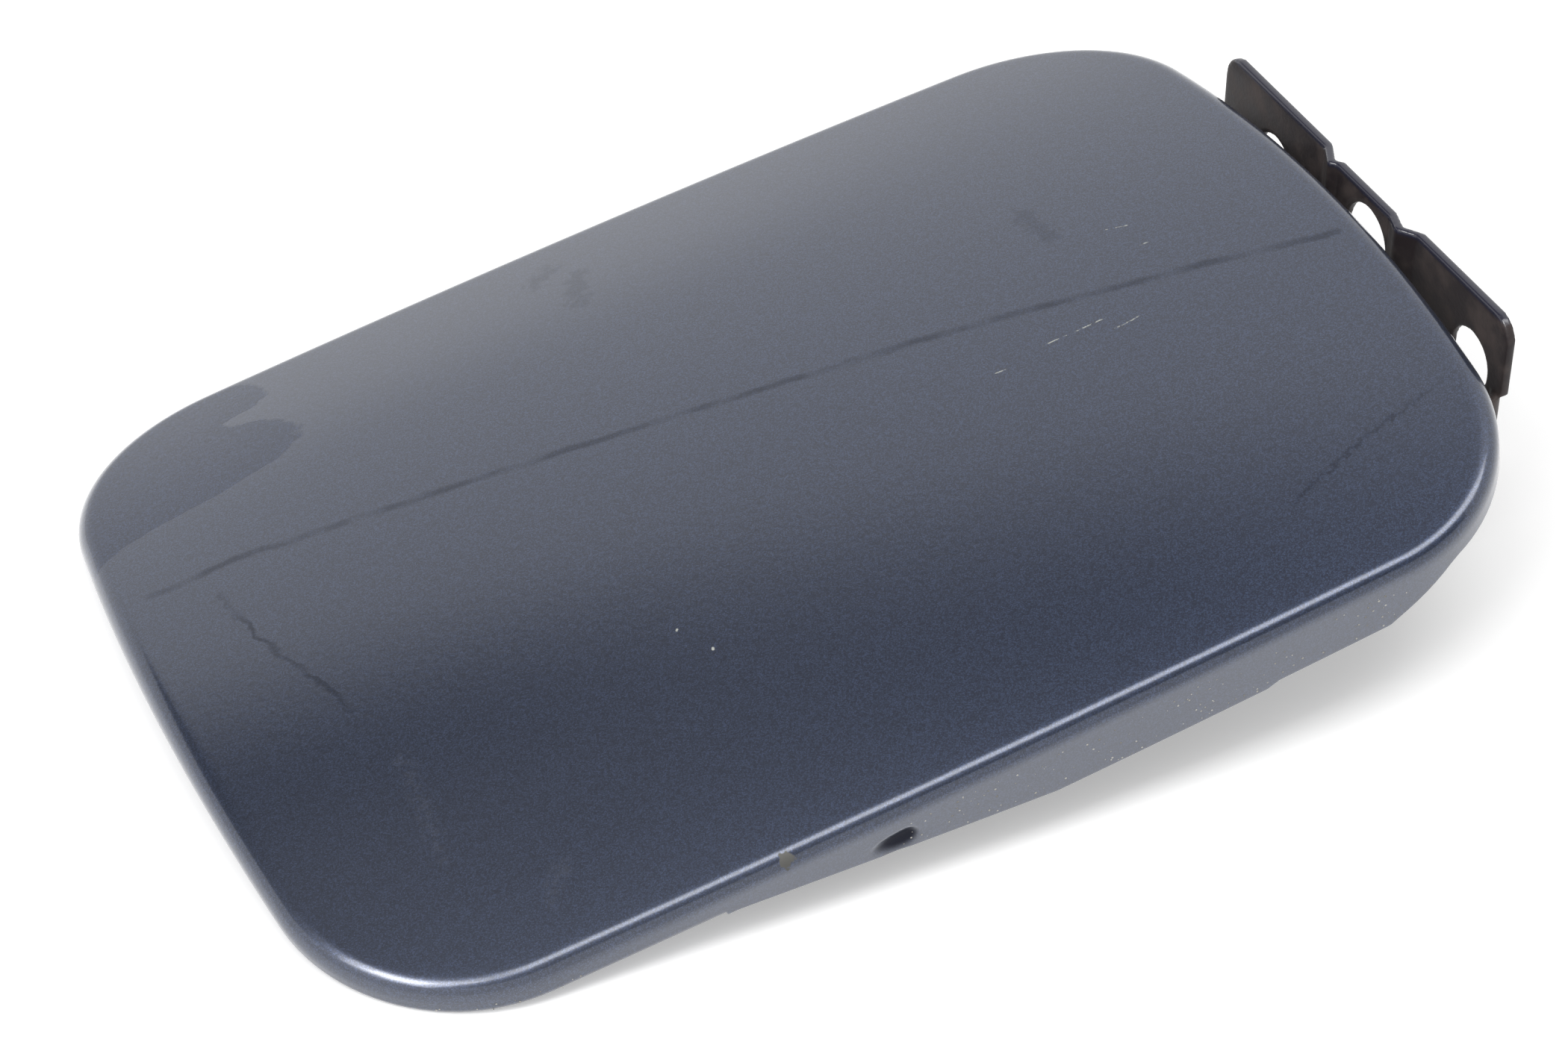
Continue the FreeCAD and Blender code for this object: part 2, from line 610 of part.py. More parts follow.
def make_hinge_arm():
    """Folded channel under the seat; its cheeks carry the pin eyes and the open-stop lugs."""
    pin = flap_placement.inverse().multVec(PIN)
    pin.y = 0
    low_x = from_hinge(SEAT_FROM_HINGE + SEAT_LENGTH - SEAT_MARGIN)
    high_x = from_hinge(SEAT_FROM_HINGE + SEAT_MARGIN)
    top = -SEAT_LEVEL
    reach = pin.x + 2 * ARM_EYE_RADIUS - low_x
    height = top - pin.z + 2 * ARM_EYE_RADIUS
    corner = Vector(low_x, ARM_MIDDLE - ARM_WIDTH / 2, top - height)
    outside = Part.makeBox(reach, ARM_WIDTH, height, corner)
    outside = rounded(outside, ARM_BEND, lambda p, d: abs(d.x) > ALONG and p.z > top - NEAR)
    corner += Vector(0, ARM_SHEET, 0)
    inside = Part.makeBox(reach, ARM_WIDTH - 2 * ARM_SHEET, height - ARM_SHEET, corner)
    under = top - ARM_SHEET
    inside = rounded(inside, ARM_BEND - ARM_SHEET, lambda p, d: abs(d.x) > ALONG and p.z > under - NEAR)

    front = Vector(high_x, 0, top)
    back = Vector(low_x + ARM_HEEL, 0, top - ARM_LIP)
    right = tangent_angle(front, 0, pin, ARM_EYE_RADIUS, 1)
    left = tangent_angle(back, 0, pin, ARM_EYE_RADIUS, -1)
    edges = [
        Part.makeLine(Vector(low_x, 0, top), front),
        Part.makeLine(front, on_circle(pin, ARM_EYE_RADIUS, right)),
        arc_between(pin, ARM_EYE_RADIUS, right, left),
        Part.makeLine(on_circle(pin, ARM_EYE_RADIUS, left), back),
        Part.makeLine(back, Vector(low_x, 0, top - ARM_LIP)),
        Part.makeLine(Vector(low_x, 0, top - ARM_LIP), Vector(low_x, 0, top)),
    ]
    silhouette = closed_side(edges, ARM_MIDDLE - ARM_WIDTH, ARM_MIDDLE + ARM_WIDTH)
    arm = on_flap(outside.cut(inside).common(silhouette))

    stop_x = -BASE_SHEET - STOP_GAP
    lug = [
        (PIN.x + STOP_ROOT, PIN.z + STOP_ROOT),
        (stop_x, -STOP_LOW),
        (stop_x, -STOP_HIGH),
        (PIN.x - STOP_ROOT, PIN.z + STOP_SHOULDER),
    ]
    for low_y in (CHEEK_FRONT, CHEEK_BACK - ARM_SHEET):
        arm = arm.fuse(side_polygon(lug, low_y, low_y + ARM_SHEET))
    eye_radius = PIN_RADIUS + BUSH_WALL + BUSH_FIT
    eye = Part.makeCylinder(eye_radius, 2 * ARM_WIDTH, PIN - Vector(0, ARM_WIDTH, 0), Vector(0, 1, 0))
    return arm.cut(eye).removeSplitter()


def make_return_spring():
    """Bent spring wire: one end in the front ear, a run beside the pin and a leg under the arm."""
    under_arm = -SEAT_LEVEL - ARM_SHEET - WIRE_SEAT_GAP - WIRE_RADIUS
    seat = Vector(from_hinge(SEAT_FROM_HINGE + WIRE_SEAT_BACK), 0, under_arm)
    leg_end = flap_placement.multVec(seat)
    turn_y = CHEEK_BACK - WIRE_LEG_FROM_CHEEK
    leg_end.y = turn_y + WIRE_BEND
    leg = leg_end - WIRE
    leg.y = 0
    leg.normalize()
    start = WIRE + Vector(0, -PLATE_FRONT, 0)
    bend_start = WIRE + Vector(0, turn_y, 0)
    bend_end = bend_start + Vector(0, WIRE_BEND, 0) + leg * WIRE_BEND
    centre = bend_start + leg * WIRE_BEND
    bend_middle = centre + (Vector(0, 1, 0) - leg).normalize() * WIRE_BEND
    path = Part.Wire([
        Part.makeLine(start, bend_start),
        Part.Arc(bend_start, bend_middle, bend_end).toShape(),
        Part.makeLine(bend_end, leg_end),
    ])
    section = Part.Wire(Part.makeCircle(WIRE_RADIUS, start, Vector(0, 1, 0)))
    return path.makePipeShell([section], True, False)


def on_flap(shape):
    """Moves a shape from the flap's frame to its place against the hinge base."""
    return shape.transformed(flap_placement.toMatrix())


# The open flap hangs on the hinge edge: gap to the plate, height over the holes, offset along it
hinge_edge = Vector(HALF_LENGTH, 0, crown_height(HALF_LENGTH, 0, 0))
lay = FreeCAD.Rotation(Vector(0, 1, 0), -LAY_ANGLE)
hinge_edge_laid = lay.multVec(hinge_edge)
flap_place = Vector(-BASE_SHEET - HINGE_GAP, FLAP_OFFSET, HOLE_DROP) - hinge_edge_laid
flap_placement = FreeCAD.Placement(flap_place, lay)

# The pin's height lets the ears touch the ground that the free end of the flap lies on
outer_panel = on_flap(make_outer_panel())
ground = outer_panel.optimalBoundingBox(False).ZMin
PIN = Vector(-PIN_SETBACK, 0, ground + EAR_RADIUS)
WIRE = PIN + Vector(WIRE_OUT, 0, WIRE_UP)

# The arm fills the room between the ears, less the bush flanges and the end float
CHEEK_FRONT = -PLATE_FRONT + BASE_SHEET + BUSH_FLANGE + END_FLOAT
CHEEK_BACK = PLATE_BACK - BASE_SHEET - BUSH_FLANGE - END_FLOAT
ARM_WIDTH = CHEEK_BACK - CHEEK_FRONT
ARM_MIDDLE = (CHEEK_FRONT + CHEEK_BACK) / 2 - FLAP_OFFSET

pieces = {
    "outer_panel": outer_panel,
    "inner_panel": on_flap(make_inner_panel()),
    "latch_keeper": on_flap(make_latch_keeper()),
    "buffer_front": on_flap(make_buffer(-1)),
    "buffer_back": on_flap(make_buffer(1)),
    "hinge_arm": make_hinge_arm(),
    "bush_front": make_bush(CHEEK_FRONT, -1),
    "bush_back": make_bush(CHEEK_BACK, 1),
    "hinge_base": make_hinge_base(),
    "hinge_pin": make_hinge_pin(),
    "pin_clip": make_pin_clip(),
    "return_spring": make_return_spring(),
}

os.makedirs("parts", exist_ok=True)
for name, shape in pieces.items():
    shape.exportStep(f"parts/{name}.step")
    box = shape.optimalBoundingBox(False)
    corners = [round(v, 2) for v in (box.XMin, box.YMin, box.ZMin, box.XMax, box.YMax, box.ZMax)]
    state = "valid" if shape.isValid() else "BROKEN"
    print(name, len(shape.Solids), "solid", state, round(shape.Volume), "mm3", corners)
print("pin", PIN, "ground", round(ground, 3), "flap centre", flap_place)
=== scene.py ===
import math
import bmesh
import bpy
from mathutils import Matrix, Vector


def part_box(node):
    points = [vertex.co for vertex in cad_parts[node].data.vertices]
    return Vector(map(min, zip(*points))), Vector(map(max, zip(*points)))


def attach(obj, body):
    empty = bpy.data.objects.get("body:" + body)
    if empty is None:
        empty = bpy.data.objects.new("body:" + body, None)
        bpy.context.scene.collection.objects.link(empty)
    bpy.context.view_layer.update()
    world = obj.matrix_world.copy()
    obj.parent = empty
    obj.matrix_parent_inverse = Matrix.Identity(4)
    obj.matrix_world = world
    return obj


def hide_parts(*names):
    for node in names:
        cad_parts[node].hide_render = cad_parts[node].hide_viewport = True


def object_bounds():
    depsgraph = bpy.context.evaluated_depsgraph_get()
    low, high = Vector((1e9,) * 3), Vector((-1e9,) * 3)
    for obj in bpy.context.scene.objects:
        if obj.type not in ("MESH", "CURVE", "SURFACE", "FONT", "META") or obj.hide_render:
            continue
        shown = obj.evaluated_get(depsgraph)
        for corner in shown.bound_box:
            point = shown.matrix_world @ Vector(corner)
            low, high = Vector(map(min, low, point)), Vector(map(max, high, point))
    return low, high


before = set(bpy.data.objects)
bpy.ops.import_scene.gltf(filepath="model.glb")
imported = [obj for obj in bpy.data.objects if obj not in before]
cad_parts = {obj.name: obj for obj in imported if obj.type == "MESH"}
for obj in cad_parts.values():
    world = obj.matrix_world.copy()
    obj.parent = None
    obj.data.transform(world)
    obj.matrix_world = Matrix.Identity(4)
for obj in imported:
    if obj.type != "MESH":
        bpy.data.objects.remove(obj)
cad_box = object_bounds()
scene = bpy.context.scene

# Outer panel: one pressed and crowned sheet of steel, painted dark metallic blue under clear lacquer.
# Its rim is rolled over, hemmed round the free half and left as a straight flange near the hinge.
# It is drawn in the flap's own frame, X to the hinge and Z out of the paint, then laid open.
FLAP_LENGTH = 0.190
FLAP_WIDTH = 0.1386
CORNER_RADIUS = 0.029
LONG_SIDE_BOW = 0.0019
SHORT_SIDE_BOW = 0.0052
CROSS_RADIUS = 0.278
LENGTH_RADIUS = 5.0
RIM_RADIUS = 0.003
SKIN = 0.0008
HEM_DEPTH = 0.0046
HEM_ROUND = 0.0012
HEM_RETURN = 0.008
FLANGE_DEPTH = 0.0103
FLANGE_STEP = 0.0006
RAMP_START = 0.135
RAMP_END = 0.086
STEP_AT = 0.053
STEP_RUN = 0.002
FADE_START = 0.033
FADE_END = 0.015
FADE_DEPTH = 0.002
HOLLOW_X = -0.0135
HOLLOW_Z = -0.0143
HOLLOW_NOSE = 0.0021
HOLLOW_TAIL = 0.0056
HOLLOW_HEIGHT = 0.0036
HOLLOW_DEPTH = 0.0007
LAY_ANGLE = math.radians(10)
FLAP_CENTRE = Vector((-0.099413, 0.0052, -0.003808))
FLAP_PLACE = Matrix.Translation(FLAP_CENTRE) @ Matrix.Rotation(-LAY_ANGLE, 4, "Y")
HALF_LENGTH = FLAP_LENGTH / 2
HALF_WIDTH = FLAP_WIDTH / 2
LIP_END = HALF_LENGTH - RAMP_START

# How finely the sheet is divided along its edge, down its wall and across its crown
LONG_SIDE_STEPS = 44
SHORT_SIDE_STEPS = 14
CORNER_STEPS = 26
HOLLOW_STEPS = 24
RIM_STEPS = 10
INNER_RIM_STEPS = 5
WALL_STEPS = 16
INNER_WALL_STEPS = 6
FOLD_STEPS = 5
CROWN_SHARES = (0.08, 0.18, 0.28, 0.38, 0.48, 0.58, 0.68, 0.77, 0.85, 0.92, 0.97, 0.99)
CREASE_DEGREES = 40


def crown_height(x, y, drop):
    """Height of the crowned sheet, or of its parallel at the depth drop, over a point of the plan."""
    across = math.sqrt((CROSS_RADIUS - drop) ** 2 - y * y) - CROSS_RADIUS
    return math.sqrt((LENGTH_RADIUS + across) ** 2 - x * x) - LENGTH_RADIUS


def steps(start, end, count):
    """Evenly spaced values from start to end, both included."""
    return [start + (end - start) * i / count for i in range(count + 1)]


def long_side_stations(reach):
    """Stations along a long side, closer together where the flange bends, steps and is pressed in."""
    stations = steps(-reach, reach, LONG_SIDE_STEPS)
    stations += steps(HOLLOW_X - HOLLOW_TAIL, HOLLOW_X + HOLLOW_NOSE, HOLLOW_STEPS)
    stations += [LIP_END, LIP_END + SKIN / 4]
    for distance in (RAMP_END, STEP_AT, STEP_AT - STEP_RUN, FADE_START, FADE_END):
        bend = HALF_LENGTH - distance
        stations += [bend - SKIN, bend, bend + SKIN]
    stations = sorted(x for x in stations if abs(x) <= reach)
    closest = SKIN / 8
    return [a for a, b in zip(stations, stations[1:] + [reach + closest * 2]) if b - a > closest]


def outline_stations():
    """Points round the flap's edge with their outward normals, anticlockwise, from eight arcs."""
    long_radius = HALF_LENGTH ** 2 / (2 * LONG_SIDE_BOW)
    short_radius = HALF_WIDTH ** 2 / (2 * SHORT_SIDE_BOW)
    long_centre = Vector((0, HALF_WIDTH - long_radius))
    short_centre = Vector((HALF_LENGTH - short_radius, 0))
    from_long = long_radius - CORNER_RADIUS
    from_short = short_radius - CORNER_RADIUS
    apart = short_centre - long_centre
    along = (from_long ** 2 - from_short ** 2 + apart.length ** 2) / (2 * apart.length)
    aside = math.sqrt(from_long ** 2 - along ** 2)
    unit = apart.normalized()
    corner = long_centre + unit * along + Vector((unit.y, -unit.x)) * aside
    to_short = corner - short_centre
    to_long = corner - long_centre
    short_end = math.atan2(to_short.y, to_short.x)
    long_start = math.atan2(to_long.y, to_long.x)

    def arc(centre, radius, start, end, count):
        normals = [Vector((math.cos(a), math.sin(a))) for a in steps(start, end, count)[:-1]]
        return [(centre + normal * radius, normal) for normal in normals]

    quarter = arc(short_centre, short_radius, 0, short_end, SHORT_SIDE_STEPS)
    quarter += arc(corner, CORNER_RADIUS, short_end, long_start, CORNER_STEPS)
    side = []
    for x in reversed(long_side_stations(long_radius * math.cos(long_start))):
        normal = Vector((x / long_radius, math.sqrt(1 - (x / long_radius) ** 2)))
        side.append((long_centre + normal * long_radius, normal))

    def mirrored(points, sx, sy):
        flip = Vector((sx, sy))
        return [(point * flip, normal * flip) for point, normal in points]

    free_back = list(reversed(mirrored(quarter[1:], -1, 1)))
    free_front = mirrored(quarter, -1, -1)
    front = list(reversed(mirrored(side, 1, -1)))
    hinge_front = list(reversed(mirrored(quarter[1:], 1, -1)))
    return quarter + side + free_back + free_front + front + hinge_front


def lower_edge(point):
    """Height of the sheet's lower edge under a point of the outline."""
    x = point.x
    edge_level = crown_height(0, HALF_WIDTH, 0)
    hem = crown_height(x, point.y, HEM_DEPTH)
    deep = edge_level - FLANGE_DEPTH
    profile = [
        (HALF_LENGTH - RAMP_START, edge_level - HEM_DEPTH),
        (HALF_LENGTH - RAMP_END, deep),
        (HALF_LENGTH - STEP_AT, deep),
        (HALF_LENGTH - STEP_AT + STEP_RUN, deep + FLANGE_STEP),
        (HALF_LENGTH - FADE_START, deep + FLANGE_STEP),
        (HALF_LENGTH - FADE_END, edge_level - FADE_DEPTH),
    ]
    level = hem
    for (x0, z0), (x1, z1) in zip(profile, profile[1:]):
        if x0 <= x <= x1:
            level = min(hem, z0 + (z1 - z0) * (x - x0) / (x1 - x0))
    return level


def hollow(x, z):
    """How far the flange is pressed in at a station and a height, for the small drain hollow."""
    reach = HOLLOW_TAIL if x < HOLLOW_X else HOLLOW_NOSE
    out = ((x - HOLLOW_X) / reach) ** 2 + (2 * (z - HOLLOW_Z) / HOLLOW_HEIGHT) ** 2
    return HOLLOW_DEPTH * (1 - out) if out < 1 else 0.0


def sheet_section(point, normal):
    """Section through the sheet at one station: rim, wall, folded lower edge, inner wall and inner rim."""
    def at(inset, height):
        plan = point - normal * inset
        return Vector((plan.x, plan.y, height))

    def crown(inset, drop):
        plan = point - normal * inset
        return crown_height(plan.x, plan.y, drop)

    hemmed = point.x < LIP_END + SKIN / 8
    low = lower_edge(point)
    bend = HEM_ROUND if hemmed else SKIN / 2
    lip = HEM_RETURN if hemmed else SKIN
    slope = math.atan2(crown(RIM_RADIUS, 0) - crown(0, 0), RIM_RADIUS)
    tangent = RIM_RADIUS * (1 - math.sin(slope))
    centre = crown(tangent, 0) - RIM_RADIUS * math.cos(slope)
    section = []
    for a in steps(slope, math.pi / 2, RIM_STEPS):
        section.append(at(RIM_RADIUS * (1 - math.sin(a)), centre + RIM_RADIUS * math.cos(a)))
    wall_top = section[-1].z
    for z in steps(wall_top, low + bend, WALL_STEPS)[1:]:
        section.append(at(hollow(point.x, z), z))
    pressed = hollow(point.x, low + bend)
    for a in steps(0, math.pi / 2, FOLD_STEPS)[1:]:
        inset = bend * (1 - math.cos(a))
        rise = crown(inset, HEM_DEPTH) - crown(0, HEM_DEPTH) if hemmed else 0
        section.append(at(inset + pressed, low + rise + bend * (1 - math.sin(a))))
    rise = crown(lip, HEM_DEPTH) - crown(0, HEM_DEPTH) if hemmed else 0
    section.append(at(lip + pressed, low + rise))
    section.append(at(lip + pressed, low + rise + SKIN))
    section.append(at(SKIN + pressed, low + SKIN))
    for z in steps(low + SKIN, wall_top, INNER_WALL_STEPS)[1:-1]:
        section.append(at(SKIN + hollow(point.x, z), z))
    inner = RIM_RADIUS - SKIN
    for a in reversed(steps(slope, math.pi / 2, INNER_RIM_STEPS)):
        section.append(at(RIM_RADIUS - inner * math.sin(a), centre + inner * math.cos(a)))
    return section


def crown_section(edge, drop):
    """Points on the crown from its middle out to an edge point, closer together at the edge."""
    plan = [(edge.x * share, edge.y * share) for share in CROWN_SHARES]
    return [Vector((x, y, crown_height(x, y, drop))) for x, y in plan]


def finished(bm, name, crease):
    """Object of a mesh that stays at the origin, smooth but for edges sharper than the crease angle."""
    mesh = bpy.data.meshes.new(name)
    for face in bm.faces:
        face.smooth = True
    for edge in bm.edges:
        if len(edge.link_faces) == 2:
            edge.smooth = edge.calc_face_angle() < math.radians(crease)
    bm.to_mesh(mesh)
    bm.free()
    piece = bpy.data.objects.new(name, mesh)
    scene.collection.objects.link(piece)
    return piece


def make_outer_panel():
    """Closed sheet from one section at each station, with a pole at the middle of either face."""
    bm = bmesh.new()
    columns = []
    for point, normal in outline_stations():
        section = sheet_section(point, normal)
        path = crown_section(section[0], 0) + section + list(reversed(crown_section(section[-1], SKIN)))
        columns.append([bm.verts.new(p) for p in path])
    top = bm.verts.new((0, 0, crown_height(0, 0, 0)))
    under = bm.verts.new((0, 0, crown_height(0, 0, SKIN)))
    for near, far in zip(columns, columns[1:] + columns[:1]):
        bm.faces.new((top, near[0], far[0]))
        bm.faces.new((under, far[-1], near[-1]))
        for i in range(len(near) - 1):
            bm.faces.new((near[i], near[i + 1], far[i + 1], far[i]))
    bmesh.ops.remove_doubles(bm, verts=bm.verts, dist=SKIN / 100)
    bmesh.ops.dissolve_degenerate(bm, edges=bm.edges, dist=SKIN / 100)
    bmesh.ops.recalc_face_normals(bm, faces=bm.faces)
    bmesh.ops.transform(bm, matrix=FLAP_PLACE, verts=bm.verts)
    return finished(bm, "painted_outer_panel", CREASE_DEGREES)


# Paint of the outer panel. Its pattern is laid out in millimetres in the flap's frame.
MILLIMETRES = 1000
NAVY = (0.0120, 0.0180, 0.0400, 1)
FLAKE_BLUE = (0.046, 0.069, 0.138, 1)
FLAKE_SCALE = 6.5
FLAKE_CONTRAST = 2.0
PEEL_SCALE = 0.9


def fill(tree, node, inputs):
    """Gives a node its inputs: a value is set on the socket, another node's output is linked to it."""
    for key, value in inputs.items():
        if isinstance(value, bpy.types.NodeSocket):
            tree.links.new(value, node.inputs[key])
        else:
            node.inputs[key].default_value = value


def add(tree, kind, inputs=None, **settings):
    """Adds a node with its settings and its inputs."""
    made = tree.nodes.new(kind)
    for name, value in settings.items():
        setattr(made, name, value)
    fill(tree, made, inputs or {})
    return made


def calc(tree, operation, first, second=0.0, third=0.0):
    """Output of one sum on numbers or sockets."""
    return add(tree, "ShaderNodeMath", {0: first, 1: second, 2: third}, operation=operation).outputs[0]


def vector(tree, operation, first, second):
    """Outputs of one sum on vectors. The second input of a SCALE is a number."""
    key = "Scale" if operation == "SCALE" else 1
    return add(tree, "ShaderNodeVectorMath", {0: first, key: second}, operation=operation).outputs


def between(tree, value, low, high, start=0.0, end=1.0):
    """Smooth change from start to end while value goes from low to high."""
    inputs = {"Value": value, "From Min": low, "From Max": high, "To Min": start, "To Max": end}
    return add(tree, "ShaderNodeMapRange", inputs, interpolation_type="SMOOTHSTEP").outputs[0]


def tint(tree, share, first, second):
    """Colour that goes from the first to the second by a share."""
    mixed = add(tree, "ShaderNodeMix", data_type="RGBA")
    sockets = {socket.name: i for i, socket in enumerate(mixed.inputs) if socket.enabled}
    fill(tree, mixed, {sockets["Factor"]: share, sockets["A"]: first, sockets["B"]: second})
    return [socket for socket in mixed.outputs if socket.enabled][0]


def noise(tree, point, scale, detail=2.0):
    """Value of a soft noise over a point in millimetres."""
    inputs = {"Vector": point, "Scale": scale, "Detail": detail}
    return add(tree, "ShaderNodeTexNoise", inputs).outputs["Fac"]


def bumped(tree, height, strength, distance):
    """Surface direction of a fine relief."""
    inputs = {"Height": height, "Strength": strength, "Distance": distance}
    return add(tree, "ShaderNodeBump", inputs).outputs[0]


def new_material(name):
    """Node material with its tree and its surface shader."""
    material = bpy.data.materials.new(name)
    material.use_nodes = True
    return material, material.node_tree, material.node_tree.nodes["Principled BSDF"]


def flap_point(tree):
    """Point on the flap in its own frame, in millimetres."""
    inputs = {
        "Vector": add(tree, "ShaderNodeTexCoord").outputs["Object"],
        "Location": FLAP_CENTRE,
        "Rotation": (0, -LAY_ANGLE, 0),
        "Scale": (1 / MILLIMETRES,) * 3,
    }
    return add(tree, "ShaderNodeMapping", inputs, vector_type="TEXTURE").outputs[0]


# Marks on the paint: lists of corner points on the flap, and a pen of width, waver and fineness of waver
STAIN = (0.006, 0.008, 0.016, 1)
STAIN_SHARE = 0.45
RUNNEL = [[(90, -10.3), (66, -4.4), (31, 3.2), (-28, 13.8), (-75, 21.7), (-88, 21.5)]]
RUNNEL_PEN = (1.1, 1.6, 0.16)
LEFT_STAIN = [[(-79, 15.4), (-77.6, 4.7), (-74.5, -6), (-71.2, -17.5)]]
LEFT_STAIN_PEN = (0.7, 3.4, 0.34)
RIGHT_STAIN = [[(87.6, -43.4), (71, -47.1), (57.3, -52)]]
RIGHT_STAIN_PEN = (0.5, 2.6, 0.8)
RIGHT_STAIN_SHARE = 0.8
SMUDGES = [[(-13.1, 57.1), (-9.4, 59.8)], [(-6.7, 54.7), (-9.3, 47.1)], [(53.6, 21.2), (55.0, 13.8)]]
SMUDGE_PEN = (2.2, 7.0, 0.7)
SMUDGE_SHARE = 0.4
SCRATCH = (0.42, 0.43, 0.40, 1)
SCRATCHES = [[(42.2, -7.6), (52.6, -7.5)], [(52.6, -10.3), (56.8, -9.9)], [(33.5, -8.8), (35.3, -9.0)],
             [(62.3, 10.1), (65.3, 9.2)], [(64.5, 3.8), (65.9, 3.8)]]
SCRATCH_PEN = (0.16, 0.5, 0.3)
SPECKS = [[(-26.7, -28.5), (-26.6, -28.4)], [(-23.8, -34.1), (-23.7, -33.9)]]
SPECK_PEN = (0.28, 0.3, 2.0)
SCUFFS = [[(-70.5, -45.9), (-69.4, -40.8), (-68.1, -28.5)], [(-60.6, -59.2), (-56.1, -55.0)]]
SCUFF_PEN = (2.0, 4.5, 0.6)
PEN_CORE = 0.2


def make_stroke_group():
    """Node group for one mark on the paint: 1 on the line between two points, 0 beyond its width."""
    tree = bpy.data.node_groups.new("paint_stroke", "ShaderNodeTree")
    for name in ("Point", "From", "To"):
        tree.interface.new_socket(name, in_out="INPUT", socket_type="NodeSocketVector")
    tree.interface.new_socket("Width", in_out="INPUT", socket_type="NodeSocketFloat")
    tree.interface.new_socket("Mark", in_out="OUTPUT", socket_type="NodeSocketFloat")
    given = tree.nodes.new("NodeGroupInput").outputs
    run = vector(tree, "SUBTRACT", given["To"], given["From"])[0]
    lead = vector(tree, "SUBTRACT", given["Point"], given["From"])[0]
    square = calc(tree, "MAXIMUM", vector(tree, "DOT_PRODUCT", run, run)["Value"], 1e-6)
    share = calc(tree, "DIVIDE", vector(tree, "DOT_PRODUCT", lead, run)["Value"], square)
    share = add(tree, "ShaderNodeClamp", {"Value": share}).outputs[0]
    nearest = vector(tree, "SCALE", run, share)[0]
    distance = vector(tree, "DISTANCE", lead, nearest)["Value"]
    core = calc(tree, "MULTIPLY", given["Width"], PEN_CORE)
    mark = between(tree, distance, core, given["Width"], 1.0, 0.0)
    tree.links.new(mark, tree.nodes.new("NodeGroupOutput").inputs["Mark"])
    return tree


STROKE = make_stroke_group()


def strokes(tree, point, marks, pen):
    """Strongest of several wavering marks, drawn with a pen."""
    width, waver, fineness = pen
    inputs = {"Vector": point, "Scale": fineness, "Detail": 2.0}
    drift = add(tree, "ShaderNodeTexNoise", inputs).outputs["Color"]
    drift = vector(tree, "SUBTRACT", drift, (0.5, 0.5, 0.5))[0]
    drift = vector(tree, "SCALE", drift, waver)[0]
    wavering = vector(tree, "ADD", point, drift)[0]
    flat = vector(tree, "MULTIPLY", wavering, (1, 1, 0))[0]
    strongest = None
    for corners in marks:
        for start, end in zip(corners, corners[1:]):
            inputs = {"Point": flat, "From": (*start, 0), "To": (*end, 0), "Width": width}
            mark = add(tree, "ShaderNodeGroup", inputs, node_tree=STROKE).outputs[0]
            strongest = calc(tree, "MAXIMUM", strongest, mark) if strongest else mark
    return strongest


def stains(tree, point):
    """Dark dried marks: the long runnel, a fine stain near either end and a few smudges."""
    patchy = between(tree, noise(tree, point, 0.12, 3), 0.35, 0.6, 0.25, 1.0)
    right = calc(tree, "MULTIPLY", strokes(tree, point, RIGHT_STAIN, RIGHT_STAIN_PEN), RIGHT_STAIN_SHARE)
    lines = calc(tree, "MAXIMUM", strokes(tree, point, RUNNEL, RUNNEL_PEN),
                 strokes(tree, point, LEFT_STAIN, LEFT_STAIN_PEN))
    lines = calc(tree, "MULTIPLY", calc(tree, "MAXIMUM", lines, right), patchy)
    smudges = calc(tree, "MULTIPLY", strokes(tree, point, SMUDGES, SMUDGE_PEN), SMUDGE_SHARE)
    return calc(tree, "MAXIMUM", lines, smudges)


# Where rain has washed the film off the back corner: how far the mark reaches, from its low to its high edge
TIDE_MARK = [(0.0, 0.0), (0.10, 0.20), (0.18, 0.62), (0.28, 0.86), (0.36, 0.90), (0.52, 0.82), (0.61, 0.69),
             (0.66, 0.83), (0.74, 0.88), (0.88, 0.80), (1.0, 0.72)]
TIDE_LOW = 32.0
TIDE_HIGH = 71.0
TIDE_LEFT = -94.0
TIDE_RIGHT = -52.0
TIDE_RAGGED = 5.0


def tide_mark(tree, point, x, y):
    """The washed corner: 1 inside the mark, 0 outside."""
    share = calc(tree, "DIVIDE", calc(tree, "SUBTRACT", y, TIDE_LOW), TIDE_HIGH - TIDE_LOW)
    curve = add(tree, "ShaderNodeFloatCurve", {"Value": share})
    line = curve.mapping.curves[0]
    line.points[0].location = TIDE_MARK[0]
    line.points[1].location = TIDE_MARK[-1]
    for place in TIDE_MARK[1:-1]:
        line.points.new(*place)
    curve.mapping.update()
    edge = calc(tree, "MULTIPLY_ADD", curve.outputs[0], TIDE_RIGHT - TIDE_LEFT, TIDE_LEFT)
    ragged = calc(tree, "SUBTRACT", noise(tree, point, 0.35, 3), 0.5)
    ragged = calc(tree, "MULTIPLY", ragged, TIDE_RAGGED)
    inside = between(tree, calc(tree, "SUBTRACT", calc(tree, "ADD", edge, ragged), x), -0.5, 0.7)
    above = between(tree, calc(tree, "ADD", y, ragged), TIDE_LOW - 0.4, TIDE_LOW + 0.9)
    return calc(tree, "MULTIPLY", inside, above)


